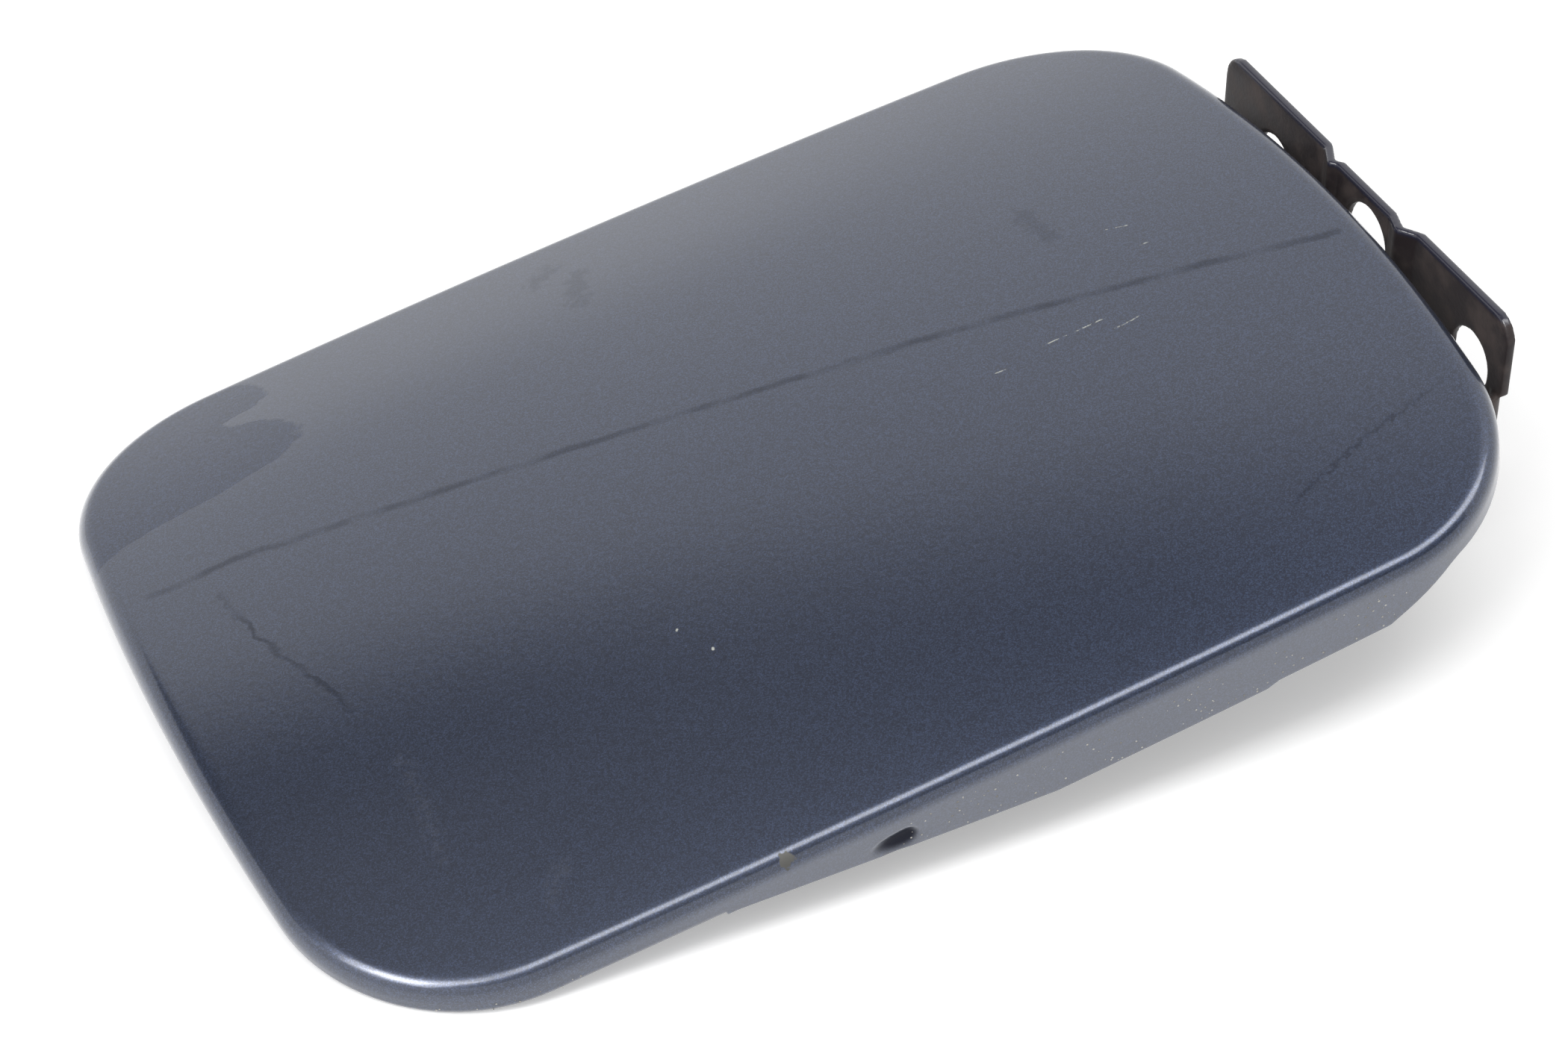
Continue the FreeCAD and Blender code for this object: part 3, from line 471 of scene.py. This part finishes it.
# Road film: spans across and along the flap, and the shares of film at the start and the end of a span
ROAD_FILM = (0.282, 0.292, 0.320, 1)
FILM_ACROSS = (-40.0, 60.0)
FILM_SHARES = (0.085, 0.120)
FILM_GRAIN = 0.014
# Back haze: partly real haze, partly a painted glow that stands in for light reflected from behind
HAZE_AND_GLOW_ACROSS = (34.0, 56.0)
HAZE_AND_GLOW_ALONG = (5.0, 70.0)
HAZE_AND_GLOW_SHARES = (0.10, 0.01)
FREE_END_ALONG = (-92.0, -50.0)
FREE_END_SHARES = (0.02, 0.0)
WASHED_OFF = 0.95
# Painted sheen: more pale film at the front towards the free end, standing in for the key lamp's light there
FRONT_SHEEN_ACROSS = (-45.0, -15.0)
FRONT_SHEEN_ALONG = (-70.0, 45.0)
FRONT_SHEEN_SHARES = (0.06, 0.0)
CROWN_DROP = 0.0018
SKIRT_EDGE = (-2.6, -1.2)
SKIRT_ALONG = (-72.0, -34.0)
SKIRT_SHARES = (0.05, 0.25)
SCUFF_SHARE = 0.04


def road_film(tree, point, scuff):
    """Share of grey road film with painted light mixed in: more at the back, where it also paints a soft
    glow, on the skirt and in scuffs, more at the front of the free end as painted sheen, little in the washed
    corner.
    """
    x, y, z = add(tree, "ShaderNodeSeparateXYZ", {0: point}).outputs
    film = between(tree, y, *FILM_ACROSS, *FILM_SHARES)
    # Painted glow, partly haze: more pale film towards the back, strongest near the middle
    haze_and_glow = calc(tree, "MULTIPLY", between(tree, y, *HAZE_AND_GLOW_ACROSS), between(tree, x, *HAZE_AND_GLOW_ALONG, *HAZE_AND_GLOW_SHARES))
    film = calc(tree, "ADD", film, haze_and_glow)
    film = calc(tree, "ADD", film, between(tree, x, *FREE_END_ALONG, *FREE_END_SHARES))
    film = calc(tree, "MULTIPLY_ADD", noise(tree, point, 1.5, 3), FILM_GRAIN, film)
    left = calc(tree, "MULTIPLY_ADD", tide_mark(tree, point, x, y), -WASHED_OFF, 1.0)
    film = calc(tree, "MULTIPLY", film, left)
    # Painted sheen: the front of the panel is made lighter towards the free end, nearest the key lamp
    front = between(tree, y, *FRONT_SHEEN_ACROSS, 1.0, 0.0)
    film = calc(tree, "MULTIPLY_ADD", front, between(tree, x, *FRONT_SHEEN_ALONG, *FRONT_SHEEN_SHARES), film)
    below = calc(tree, "MULTIPLY_ADD", calc(tree, "MULTIPLY", y, y), CROWN_DROP, z)
    skirt = between(tree, below, *SKIRT_EDGE, 1.0, 0.0)
    film = calc(tree, "MULTIPLY_ADD", skirt, between(tree, x, *SKIRT_ALONG, *SKIRT_SHARES), film)
    return calc(tree, "MULTIPLY_ADD", scuff, SCUFF_SHARE, film)


# Chip on the rim down to the primer, and painted shade inside the drain hollow
PRIMER = (0.105, 0.104, 0.098, 1)
RIM_CHIP = (-30.2, -68.3, -9.3)
RIM_CHIP_RAGGED = 2.2
RIM_CHIP_EDGE = (2.12, 2.28)
HOLLOW_SHADE_COLOUR = (0.007, 0.008, 0.018, 1)
HOLLOW_SHADE_EDGE = (0.2, 1.0)
HOLLOW_SHADE_SHARES = (0.92, 0.0)


def rim_chip(tree, point):
    """The chip: 1 inside its ragged edge, 0 outside."""
    away = vector(tree, "DISTANCE", point, RIM_CHIP)["Value"]
    ragged = calc(tree, "MULTIPLY_ADD", noise(tree, point, 1.1, 2), RIM_CHIP_RAGGED, away)
    return between(tree, ragged, *RIM_CHIP_EDGE, 1.0, 0.0)


def painted_hollow_shade(tree, point):
    """Painted shade in the hollow: strongest at its middle, 0 at its edge."""
    x, y, z = add(tree, "ShaderNodeSeparateXYZ", {0: point}).outputs
    off = calc(tree, "SUBTRACT", x, HOLLOW_X * MILLIMETRES)
    along = calc(tree, "MAXIMUM", calc(tree, "DIVIDE", off, HOLLOW_NOSE * MILLIMETRES),
                 calc(tree, "DIVIDE", off, -HOLLOW_TAIL * MILLIMETRES))
    rise = calc(tree, "SUBTRACT", z, HOLLOW_Z * MILLIMETRES)
    rise = calc(tree, "DIVIDE", rise, HOLLOW_HEIGHT * MILLIMETRES / 2)
    out = calc(tree, "ADD", calc(tree, "MULTIPLY", along, along), calc(tree, "MULTIPLY", rise, rise))
    return between(tree, out, *HOLLOW_SHADE_EDGE, *HOLLOW_SHADE_SHARES)


def metallic_paint():
    """Dark blue paint with fine flakes under lacquer, with road film, stains, scratches and chips."""
    material, tree, shader = new_material("metallic_blue_paint")
    point = flap_point(tree)
    cells = add(tree, "ShaderNodeTexVoronoi", {"Vector": point, "Scale": FLAKE_SCALE}).outputs["Color"]
    flake = add(tree, "ShaderNodeSeparateColor", {0: cells}).outputs[0]
    colour = tint(tree, calc(tree, "POWER", flake, FLAKE_CONTRAST), NAVY, FLAKE_BLUE)
    broken = between(tree, noise(tree, point, 1.1, 2), 0.42, 0.56)
    film = road_film(tree, point, calc(tree, "MULTIPLY", strokes(tree, point, SCUFFS, SCUFF_PEN), broken))
    colour = tint(tree, film, colour, ROAD_FILM)
    stain = stains(tree, point)
    colour = tint(tree, calc(tree, "MULTIPLY", stain, STAIN_SHARE), colour, STAIN)
    scratch = calc(tree, "MULTIPLY", strokes(tree, point, SCRATCHES, SCRATCH_PEN), broken)
    scratch = calc(tree, "MAXIMUM", scratch, strokes(tree, point, SPECKS, SPECK_PEN))
    colour = tint(tree, scratch, colour, SCRATCH)
    chip = rim_chip(tree, point)
    colour = tint(tree, chip, colour, PRIMER)
    # Painted shade: the inside of the drain hollow is darkened towards its middle
    hollow_shade = painted_hollow_shade(tree, point)
    colour = tint(tree, hollow_shade, colour, HOLLOW_SHADE_COLOUR)

    dull = calc(tree, "MAXIMUM", calc(tree, "MAXIMUM", chip, scratch), hollow_shade)
    rough = calc(tree, "MULTIPLY_ADD", film, 0.5, 0.26)
    matt = calc(tree, "MAXIMUM", dull, calc(tree, "MULTIPLY", stain, 0.35))
    peel = bumped(tree, noise(tree, point, PEEL_SCALE, 1), 0.12, 0.0001)
    fill(tree, shader, {
        "Base Color": colour,
        "Metallic": 0.6,
        "Roughness": calc(tree, "MULTIPLY_ADD", dull, 0.3, rough),
        "Specular IOR Level": 0.25,
        "Coat Weight": calc(tree, "SUBTRACT", 1.0, matt),
        "Coat Roughness": 0.12,
        "Coat IOR": 1.5,
        "Normal": peel,
        "Coat Normal": peel,
    })
    return material


outer_panel = make_outer_panel()
outer_panel.data.materials.append(metallic_paint())
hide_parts("outer_panel")
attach(outer_panel, "flap")

# Grit: road grit and stone dust baked on to the flange, in clusters along the front side.
# Each grain is a small flattened bead, sunk halfway into the lacquer.
GRAIN_RADIUS = 0.00016
GRAIN_SHAPE = (1.0, 0.8, 0.4)
GRAIN_SIZES = (0.45, 1.4)
GRAINS_PER_SQUARE_METRE = 900000.0
GRAIN_SEED = 7
CLUSTER_SCALE = 130.0
CLUSTER_EDGE = (0.50, 0.64)
GRIT_PALE = (0.46, 0.45, 0.42, 1)
GRIT_DARK = (0.20, 0.19, 0.17, 1)


def make_flange_strip():
    """Bare strip over the front flange's outer face, which the grains are scattered on."""
    bm = bmesh.new()
    columns = []
    for point, normal in outline_stations():
        if point.y < 0 and abs(point.x) < HALF_LENGTH - CORNER_RADIUS / 2:
            top = crown_height(point.x, point.y, 0) - RIM_RADIUS
            low = lower_edge(point) + HEM_ROUND / 2
            columns.append([bm.verts.new((point.x, point.y, z)) for z in (top, low)])
    for near, far in zip(columns, columns[1:]):
        bm.faces.new((near[0], near[1], far[1], far[0]))
    bmesh.ops.transform(bm, matrix=FLAP_PLACE, verts=bm.verts)
    return finished(bm, "grit_on_flange", CREASE_DEGREES)


def new_node_tool(name, numbers):
    """Empty geometry tool with a mesh in, named numbers and a mesh out."""
    tree = bpy.data.node_groups.new(name, "GeometryNodeTree")
    tree.interface.new_socket("Geometry", in_out="INPUT", socket_type="NodeSocketGeometry")
    for number, kind in numbers:
        tree.interface.new_socket(number, in_out="INPUT", socket_type=kind)
    tree.interface.new_socket("Geometry", in_out="OUTPUT", socket_type="NodeSocketGeometry")
    return tree, tree.nodes.new("NodeGroupInput").outputs


def realized(tree, instances, material):
    """Ends a tool: the repeated grains or welds become plain smooth mesh with their material."""
    mesh = add(tree, "GeometryNodeRealizeInstances", {"Geometry": instances}).outputs[0]
    mesh = add(tree, "GeometryNodeSetShadeSmooth", {0: mesh}).outputs[0]
    mesh = add(tree, "GeometryNodeSetMaterial", {"Geometry": mesh, "Material": material}).outputs[0]
    tree.links.new(mesh, tree.nodes.new("NodeGroupOutput").inputs[0])


def settled(piece):
    """Turns what a piece's modifiers make into its own plain mesh."""
    evaluated = piece.evaluated_get(bpy.context.evaluated_depsgraph_get())
    mesh = bpy.data.meshes.new_from_object(evaluated)
    piece.modifiers.clear()
    piece.data = mesh
    return piece


def grown(host, tree, values):
    """Runs a tool on a host mesh and leaves its result as the host's own plain mesh."""
    modifier = host.modifiers.new(tree.name, "NODES")
    modifier.node_group = tree
    for item in tree.interface.items_tree:
        if item.in_out == "INPUT" and item.name in values:
            modifier[item.identifier] = values[item.name]
    return settled(host)


def grit_dust():
    """Pale stone dust with darker grains."""
    material, tree, shader = new_material("stone_grit")
    darker = between(tree, noise(tree, flap_point(tree), 0.9, 1), 0.4, 0.6)
    fill(tree, shader, {"Base Color": tint(tree, darker, GRIT_PALE, GRIT_DARK), "Roughness": 0.8})
    return material


def scatter_tool(material):
    """Tool that scatters flattened grains in clusters over a mesh."""
    numbers = [("Grains per area", "NodeSocketFloat"), ("Grain radius", "NodeSocketFloat"),
               ("Seed", "NodeSocketInt")]
    tree, given = new_node_tool("grit_scatter", numbers)
    cluster = add(tree, "ShaderNodeTexNoise", {"Scale": CLUSTER_SCALE, "Detail": 2.0}).outputs["Fac"]
    density = calc(tree, "MULTIPLY", between(tree, cluster, *CLUSTER_EDGE), given["Grains per area"])
    inputs = {"Mesh": given["Geometry"], "Seed": given["Seed"], "Density": density}
    points = add(tree, "GeometryNodeDistributePointsOnFaces", inputs).outputs
    inputs = {"Radius": given["Grain radius"], "Subdivisions": 1}
    grain = add(tree, "GeometryNodeMeshIcoSphere", inputs).outputs[0]
    grain = add(tree, "GeometryNodeTransform", {"Geometry": grain, "Scale": GRAIN_SHAPE}).outputs[0]
    inputs = {2: GRAIN_SIZES[0], 3: GRAIN_SIZES[1], "Seed": given["Seed"]}
    size = add(tree, "FunctionNodeRandomValue", inputs, data_type="FLOAT").outputs[1]
    inputs = {"Points": points["Points"], "Instance": grain, "Rotation": points["Rotation"], "Scale": size}
    realized(tree, add(tree, "GeometryNodeInstanceOnPoints", inputs).outputs[0], material)
    return tree


GRIT_VALUES = {"Grains per area": GRAINS_PER_SQUARE_METRE, "Grain radius": GRAIN_RADIUS, "Seed": GRAIN_SEED}
grit = grown(make_flange_strip(), scatter_tool(grit_dust()), GRIT_VALUES)
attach(grit, "flap")

# Inner panel, hinge arm and latch keeper: pressed and folded steel, welded up before the flap is painted.
# They carry a thin coat of the same blue, dulled by dust, and are seen only from below.
THIN_NAVY = (0.010, 0.014, 0.034, 1)
BARE_PRIMER = (0.055, 0.056, 0.062, 1)
DUST = (0.19, 0.17, 0.145, 1)


def inner_paint():
    """Thin body colour inside the flap, patchy over its primer and dusty."""
    material, tree, shader = new_material("thin_blue_paint")
    point = flap_point(tree)
    cover = between(tree, noise(tree, point, 0.05, 4), 0.35, 0.65)
    dust = between(tree, noise(tree, point, 0.35, 6), 0.45, 0.8, 0.02, 0.30)
    fill(tree, shader, {
        "Base Color": tint(tree, dust, tint(tree, cover, BARE_PRIMER, THIN_NAVY), DUST),
        "Metallic": 0.3,
        "Roughness": calc(tree, "MULTIPLY_ADD", dust, 1.2, 0.36),
        "Coat Weight": 0.4,
        "Coat Roughness": 0.25,
        "Normal": bumped(tree, noise(tree, point, 2.2, 3), 0.15, 0.0003),
    })
    return material


def give_finish(material, *names):
    """Gives pieces that keep their shape a finish."""
    for name in names:
        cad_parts[name].material_slots[0].material = material


INNER_PAINT = inner_paint()
give_finish(INNER_PAINT, "inner_panel", "hinge_arm", "latch_keeper")

# Spot welds: three pairs through the web of the hinge arm, which hold it to the inner panel's seat.
# Each leaves a shallow round mark on the underside of the web, painted over with the rest.
WELD_RADIUS = 0.0026
WELD_FLATNESS = 0.09
WELD_PITCH = 0.010
WELD_ROW = 0.009
WELD_COLUMNS = 3
WELD_X = 0.053
WEB_UNDERSIDE = -0.017


def weld_tool(material):
    """Tool that sets shallow round weld marks on a grid."""
    numbers = [("Pitch", "NodeSocketFloat"), ("Row", "NodeSocketFloat"), ("Columns", "NodeSocketInt"),
               ("Weld radius", "NodeSocketFloat")]
    tree, given = new_node_tool("weld_grid", numbers)
    length = calc(tree, "MULTIPLY", given["Pitch"], calc(tree, "SUBTRACT", given["Columns"], 1.0))
    inputs = {"Size X": length, "Size Y": given["Row"], "Vertices X": given["Columns"], "Vertices Y": 2}
    grid = add(tree, "GeometryNodeMeshGrid", inputs).outputs["Mesh"]
    inputs = {"Segments": 24, "Rings": 12, "Radius": given["Weld radius"]}
    weld = add(tree, "GeometryNodeMeshUVSphere", inputs).outputs[0]
    inputs = {"Geometry": weld, "Scale": (1.0, 1.0, WELD_FLATNESS)}
    weld = add(tree, "GeometryNodeTransform", inputs).outputs[0]
    inputs = {"Points": grid, "Instance": weld}
    realized(tree, add(tree, "GeometryNodeInstanceOnPoints", inputs).outputs[0], material)
    return tree


arm_low, arm_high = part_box("hinge_arm")
arm_middle = (arm_low[1] + arm_high[1]) / 2 - FLAP_CENTRE.y
WELD_VALUES = {"Pitch": WELD_PITCH, "Row": WELD_ROW, "Columns": WELD_COLUMNS, "Weld radius": WELD_RADIUS}
welds = bpy.data.objects.new("spot_welds", bpy.data.meshes.new("spot_welds"))
scene.collection.objects.link(welds)
welds = grown(welds, weld_tool(INNER_PAINT), WELD_VALUES)
welds.data.transform(FLAP_PLACE @ Matrix.Translation((WELD_X, arm_middle, WEB_UNDERSIDE)))
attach(welds, "flap")

# Hinge base: one folded steel sheet with two joggles, three holes and two ears for the pin.
# Its painted edges are rounded by the shears and the paint; its inner face has only thin overspray.
PAINT_GRAIN = 0.0003
PAINT_FLOW = 8
FLOW_STRENGTH = 0.5
FACES_KEPT = 0.3
OVERSPRAY = (0.018, 0.0135, 0.0155, 1)
BRACKET_DUST = (0.110, 0.087, 0.079, 1)
EDGE_NAVY = (0.018, 0.018, 0.034, 1)
TOP_EDGE = (10.7, 11.3)


def make_hinge_base():
    """Copy of the folded sheet with its folds and cut edges flowed round, as thick paint leaves them."""
    bm = bmesh.new()
    bm.from_mesh(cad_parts["hinge_base"].data)
    bmesh.ops.remove_doubles(bm, verts=bm.verts, dist=PAINT_GRAIN / 100)
    piece = finished(bm, "painted_hinge_base", 180)
    skin = piece.modifiers.new("paint_skin", "REMESH")
    skin.mode = "VOXEL"
    skin.voxel_size = PAINT_GRAIN
    flow = piece.modifiers.new("paint_flow", "SMOOTH")
    flow.factor = FLOW_STRENGTH
    flow.iterations = PAINT_FLOW
    thin = piece.modifiers.new("fewer_faces", "DECIMATE")
    thin.ratio = FACES_KEPT
    settled(piece)
    for face in piece.data.polygons:
        face.use_smooth = True
    return piece


def part_point(tree):
    """Point on a piece in the part's own frame, in millimetres."""
    where = add(tree, "ShaderNodeTexCoord").outputs["Object"]
    return add(tree, "ShaderNodeMapping", {"Vector": where, "Scale": (MILLIMETRES,) * 3}).outputs[0]


def bracket_paint():
    """Glossy navy on the upper edge, thin brownish overspray and dust on the faces."""
    material, tree, shader = new_material("bracket_paint")
    point = part_point(tree)
    height = add(tree, "ShaderNodeSeparateXYZ", {0: point}).outputs[2]
    top = between(tree, height, *TOP_EDGE)
    dusty = between(tree, noise(tree, point, 0.22, 5), 0.38, 0.72, 0.05, 0.55)
    dusty = calc(tree, "MULTIPLY", dusty, calc(tree, "SUBTRACT", 1.0, top))
    fill(tree, shader, {
        "Base Color": tint(tree, dusty, tint(tree, top, OVERSPRAY, EDGE_NAVY), BRACKET_DUST),
        "Roughness": calc(tree, "MULTIPLY_ADD", dusty, 0.4, 0.42),
        "Specular IOR Level": 0.2,
        "Coat Weight": calc(tree, "MULTIPLY_ADD", top, 0.8, 0.12),
        "Coat Roughness": 0.12,
        "Normal": bumped(tree, noise(tree, point, 1.4, 3), 0.15, 0.0003),
    })
    return material


hinge_base = make_hinge_base()
hinge_base.data.materials.append(bracket_paint())
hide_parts("hinge_base")
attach(hinge_base, "base")

# Pin, clip and return spring: zinc-plated steel and bare spring wire, dulled by use.
# The pin is headed over the front ear and held by an open ring clip behind the back ear.
ZINC = (0.52, 0.51, 0.48, 1)
ZINC_DULL = (0.30, 0.29, 0.27, 1)
WIRE_STEEL = (0.26, 0.26, 0.27, 1)
WIRE_DULL = (0.12, 0.115, 0.11, 1)


def worn_metal(name, bright, dull, roughness):
    """Plated or bare metal with dull patches."""
    material, tree, shader = new_material(name)
    worn = between(tree, noise(tree, part_point(tree), 0.6, 5), 0.35, 0.7)
    fill(tree, shader, {
        "Base Color": tint(tree, worn, bright, dull),
        "Metallic": 1.0,
        "Roughness": calc(tree, "MULTIPLY_ADD", worn, 0.2, roughness),
    })
    return material


give_finish(worn_metal("zinc_plating", ZINC, ZINC_DULL, 0.28), "hinge_pin", "pin_clip")
give_finish(worn_metal("spring_wire", WIRE_STEEL, WIRE_DULL, 0.32), "return_spring")

# Bushes and buffers: two flanged nylon bushes on the pin and two rubber buffers plugged into the panel.
# The nylon is off-white and slightly waxy; the rubber is black and chalks with age.
NYLON = (0.62, 0.60, 0.54, 1)
NYLON_AGED = (0.46, 0.43, 0.36, 1)
RUBBER = (0.012, 0.012, 0.013, 1)
RUBBER_CHALK = (0.06, 0.06, 0.06, 1)


def moulded(name, fresh, aged, roughness):
    """Moulded plastic or rubber with a faint grain and aged patches."""
    material, tree, shader = new_material(name)
    point = part_point(tree)
    age = between(tree, noise(tree, point, 0.5, 4), 0.4, 0.75)
    fill(tree, shader, {
        "Base Color": tint(tree, age, fresh, aged),
        "Roughness": calc(tree, "MULTIPLY_ADD", age, 0.15, roughness),
        "Normal": bumped(tree, noise(tree, point, 4.0, 3), 0.1, 0.0002),
    })
    return material


give_finish(moulded("waxy_nylon", NYLON, NYLON_AGED, 0.42), "bush_front", "bush_back")
give_finish(moulded("black_rubber", RUBBER, RUBBER_CHALK, 0.6), "buffer_front", "buffer_back")

# Studio: a pale floor under the part, a white surround, a soft key from the left and a soft top light.
# Bright sheets and two dark flags are seen only in gloss: they draw the rim's bright and dark lines.
WHITE = (1, 1, 1, 1)
FLOOR_SIZE = 12.0
FLOOR_WHITE = (0.86, 0.86, 0.86, 1)
FLOOR_GLOW = 0.34
FLOOR_GLOW_FAR = 0.55
FLOOR_NEAR = 0.35
FLOOR_FAR = 1.2
SURROUND = 0.55
FLAG_BLACK = (0.01, 0.01, 0.012, 1)
FRONT_FLAG_PLACE = Vector((0.0, -1.0, 0.76))
FRONT_FLAG_SIZE = (3.0, 1.3)
FRONT_FLAG_FADE = (0.2, 0.5)
TOP_FLAG_PLACE = Vector((0.0, 0.2, 1.5))
TOP_FLAG_SIZE = (5.0, 4.0)
TOP_FLAG_EDGE = (0.8, 0.6, 0.0)
TOP_FLAG_FADE = (0.35, 0.82)
OVERHEAD_PLACE = Vector((0.35, -0.25, 1.0))
OVERHEAD_SIZE = (1.36, 0.54)
OVERHEAD_GLOW = 6.0
OVERHEAD_EDGE_GLOW = 0.2
OVERHEAD_CORE = 0.3
MIDDLE = Vector((-0.1, 0.0, 0.0))
KEY_PLACE = MIDDLE + Vector((-0.80, -0.33, 0.93))
KEY_SIZE = (0.7, 0.7)
KEY_POWER = 8.0
KEY_FACE = 0.36
KEY_FACE_GAP = 0.05
KEY_GLOW = 16.0
TOP_PLACE = MIDDLE + Vector((0.05, -0.32, 1.15))
TOP_SIZE = (1.2, 0.40)
TOP_POWER = 5.0


def seen_directly(tree):
    """1 for rays from the camera, from gloss or through glass, 0 for the light that falls on things."""
    ray = add(tree, "ShaderNodeLightPath").outputs
    either = calc(tree, "MAXIMUM", ray["Is Camera Ray"], ray["Is Glossy Ray"])
    return calc(tree, "MAXIMUM", either, ray["Is Transmission Ray"])


def stage_point(tree):
    """Point on a stage sheet, in metres."""
    return add(tree, "ShaderNodeTexCoord").outputs["Object"]


def make_sheet(name, place, right, up):
    """Flat stage sheet round a place, between its sides along right and up."""
    mesh = bpy.data.meshes.new(name)
    corners = [place - right - up, place + right - up, place + right + up, place - right + up]
    mesh.from_pydata(corners, [], [(0, 1, 2, 3)])
    sheet = bpy.data.objects.new(name, mesh)
    scene.collection.objects.link(sheet)
    return sheet


def level_sheet(name, place, size):
    """Level stage sheet round a place."""
    return make_sheet(name, place, Vector((size[0] / 2, 0, 0)), Vector((0, size[1] / 2, 0)))


def gloss_only(sheet, material):
    """Keeps a sheet out of sight and off the object's own colours, so that it shows in gloss alone."""
    sheet.data.materials.append(material)
    sheet.visible_camera = False
    sheet.visible_diffuse = False
    sheet.visible_shadow = False


def black_flag(name):
    """Matt black cloth."""
    material, tree, shader = new_material(name)
    fill(tree, shader, {"Base Color": FLAG_BLACK, "Roughness": 0.9})
    return material, tree, shader


def bright_sheet(name):
    """White sheet that shines by itself."""
    material, tree, shader = new_material(name)
    fill(tree, shader, {"Base Color": (0, 0, 0, 1), "Emission Color": WHITE})
    return material, tree, shader


def soft_light(name, place, size, power):
    """Area lamp that points at the middle of the part."""
    lamp = bpy.data.lights.new(name, "AREA")
    lamp.shape = "RECTANGLE"
    lamp.size, lamp.size_y = size
    lamp.energy = power
    holder = bpy.data.objects.new(name, lamp)
    holder.location = place
    holder.rotation_euler = (MIDDLE - place).to_track_quat("-Z", "Y").to_euler()
    scene.collection.objects.link(holder)
    return holder


floor = level_sheet("floor", Vector((0, 0, cad_box[0][2])), (FLOOR_SIZE, FLOOR_SIZE))
material, tree, shader = new_material("pale_floor")
# Painted light: the floor glows by itself for camera and gloss rays, less near the part than far off, so the
# shadow near the part stays deep and the far floor white
away = add(tree, "ShaderNodeVectorMath", {0: stage_point(tree)}, operation="LENGTH").outputs["Value"]
glow = between(tree, away, FLOOR_NEAR, FLOOR_FAR, FLOOR_GLOW, FLOOR_GLOW_FAR)
fill(tree, shader, {
    "Base Color": FLOOR_WHITE,
    "Roughness": 0.9,
    "Specular IOR Level": 0.0,
    "Emission Color": WHITE,
    "Emission Strength": calc(tree, "MULTIPLY", seen_directly(tree), glow),
})
floor.data.materials.append(material)

right = Vector((FRONT_FLAG_SIZE[0] / 2, 0, 0))
up = Vector((0, 0, FRONT_FLAG_SIZE[1] / 2))
front_flag = make_sheet("front_flag", FRONT_FLAG_PLACE + up, right, up)
material, tree, shader = black_flag("black_flag")
height = add(tree, "ShaderNodeSeparateXYZ", {0: stage_point(tree)}).outputs[2]
low = FRONT_FLAG_PLACE.z
high = low + FRONT_FLAG_SIZE[1]
lower_fade = between(tree, height, low, low + FRONT_FLAG_FADE[0])
upper_fade = between(tree, height, high - FRONT_FLAG_FADE[1], high, 1.0, 0.0)
fill(tree, shader, {"Alpha": calc(tree, "MULTIPLY", lower_fade, upper_fade)})
gloss_only(front_flag, material)

top_flag = level_sheet("top_flag", TOP_FLAG_PLACE, TOP_FLAG_SIZE)
material, tree, shader = black_flag("black_flag_with_soft_edge")
along = vector(tree, "DOT_PRODUCT", stage_point(tree), TOP_FLAG_EDGE)["Value"]
fill(tree, shader, {"Alpha": between(tree, along, *TOP_FLAG_FADE, 1.0, 0.0)})
gloss_only(top_flag, material)

overhead = level_sheet("overhead_sheet", OVERHEAD_PLACE, OVERHEAD_SIZE)
material, tree, shader = bright_sheet("bright_sheet")
depth = add(tree, "ShaderNodeSeparateXYZ", {0: stage_point(tree)}).outputs[1]
off = calc(tree, "ABSOLUTE", calc(tree, "SUBTRACT", depth, OVERHEAD_PLACE.y))
edge = OVERHEAD_SIZE[1] / 2
glow = between(tree, off, edge * OVERHEAD_CORE, edge, OVERHEAD_GLOW, OVERHEAD_EDGE_GLOW)
fill(tree, shader, {"Emission Strength": glow})
gloss_only(overhead, material)

world = bpy.data.worlds.new("white_surround")
world.use_nodes = True
scene.world = world
tree = world.node_tree
strength = calc(tree, "MULTIPLY_ADD", seen_directly(tree), 1.0 - SURROUND, SURROUND)
fill(tree, tree.nodes["Background"], {"Color": WHITE, "Strength": strength})

key = soft_light("key_left", KEY_PLACE, KEY_SIZE, KEY_POWER)
turn = key.rotation_euler.to_matrix()
right = turn @ Vector((KEY_FACE / 2, 0, 0))
up = turn @ Vector((0, KEY_FACE / 2, 0))
key_face = make_sheet("key_face", KEY_PLACE + turn @ Vector((0, 0, -KEY_FACE_GAP)), right, up)
material, tree, shader = bright_sheet("bright_key_face")
fill(tree, shader, {"Emission Strength": KEY_GLOW})
gloss_only(key_face, material)
soft_light("top_soft", TOP_PLACE, TOP_SIZE, TOP_POWER)

# Camera: a long lens from the front left, looking down at the open flap.
# Its place, aim and lens were fitted to the flap's outline in the photograph.
CAMERA_PLACE = Vector((-0.2941, -0.4153, 0.3579))
CAMERA_AIM = Vector((-0.0999, -0.0038, -0.0141))
CAMERA_LENS = 93.93
SENSOR_WIDTH = 36.0
NEAREST = 0.01
camera_data = bpy.data.cameras.new("camera")
camera_data.lens = CAMERA_LENS
camera_data.sensor_width = SENSOR_WIDTH
camera_data.clip_start = NEAREST
camera = bpy.data.objects.new("camera", camera_data)
camera.location = CAMERA_PLACE
camera.rotation_euler = (CAMERA_AIM - CAMERA_PLACE).to_track_quat("-Z", "Y").to_euler()
scene.collection.objects.link(camera)
scene.camera = camera
scene.view_settings.view_transform = "Standard"
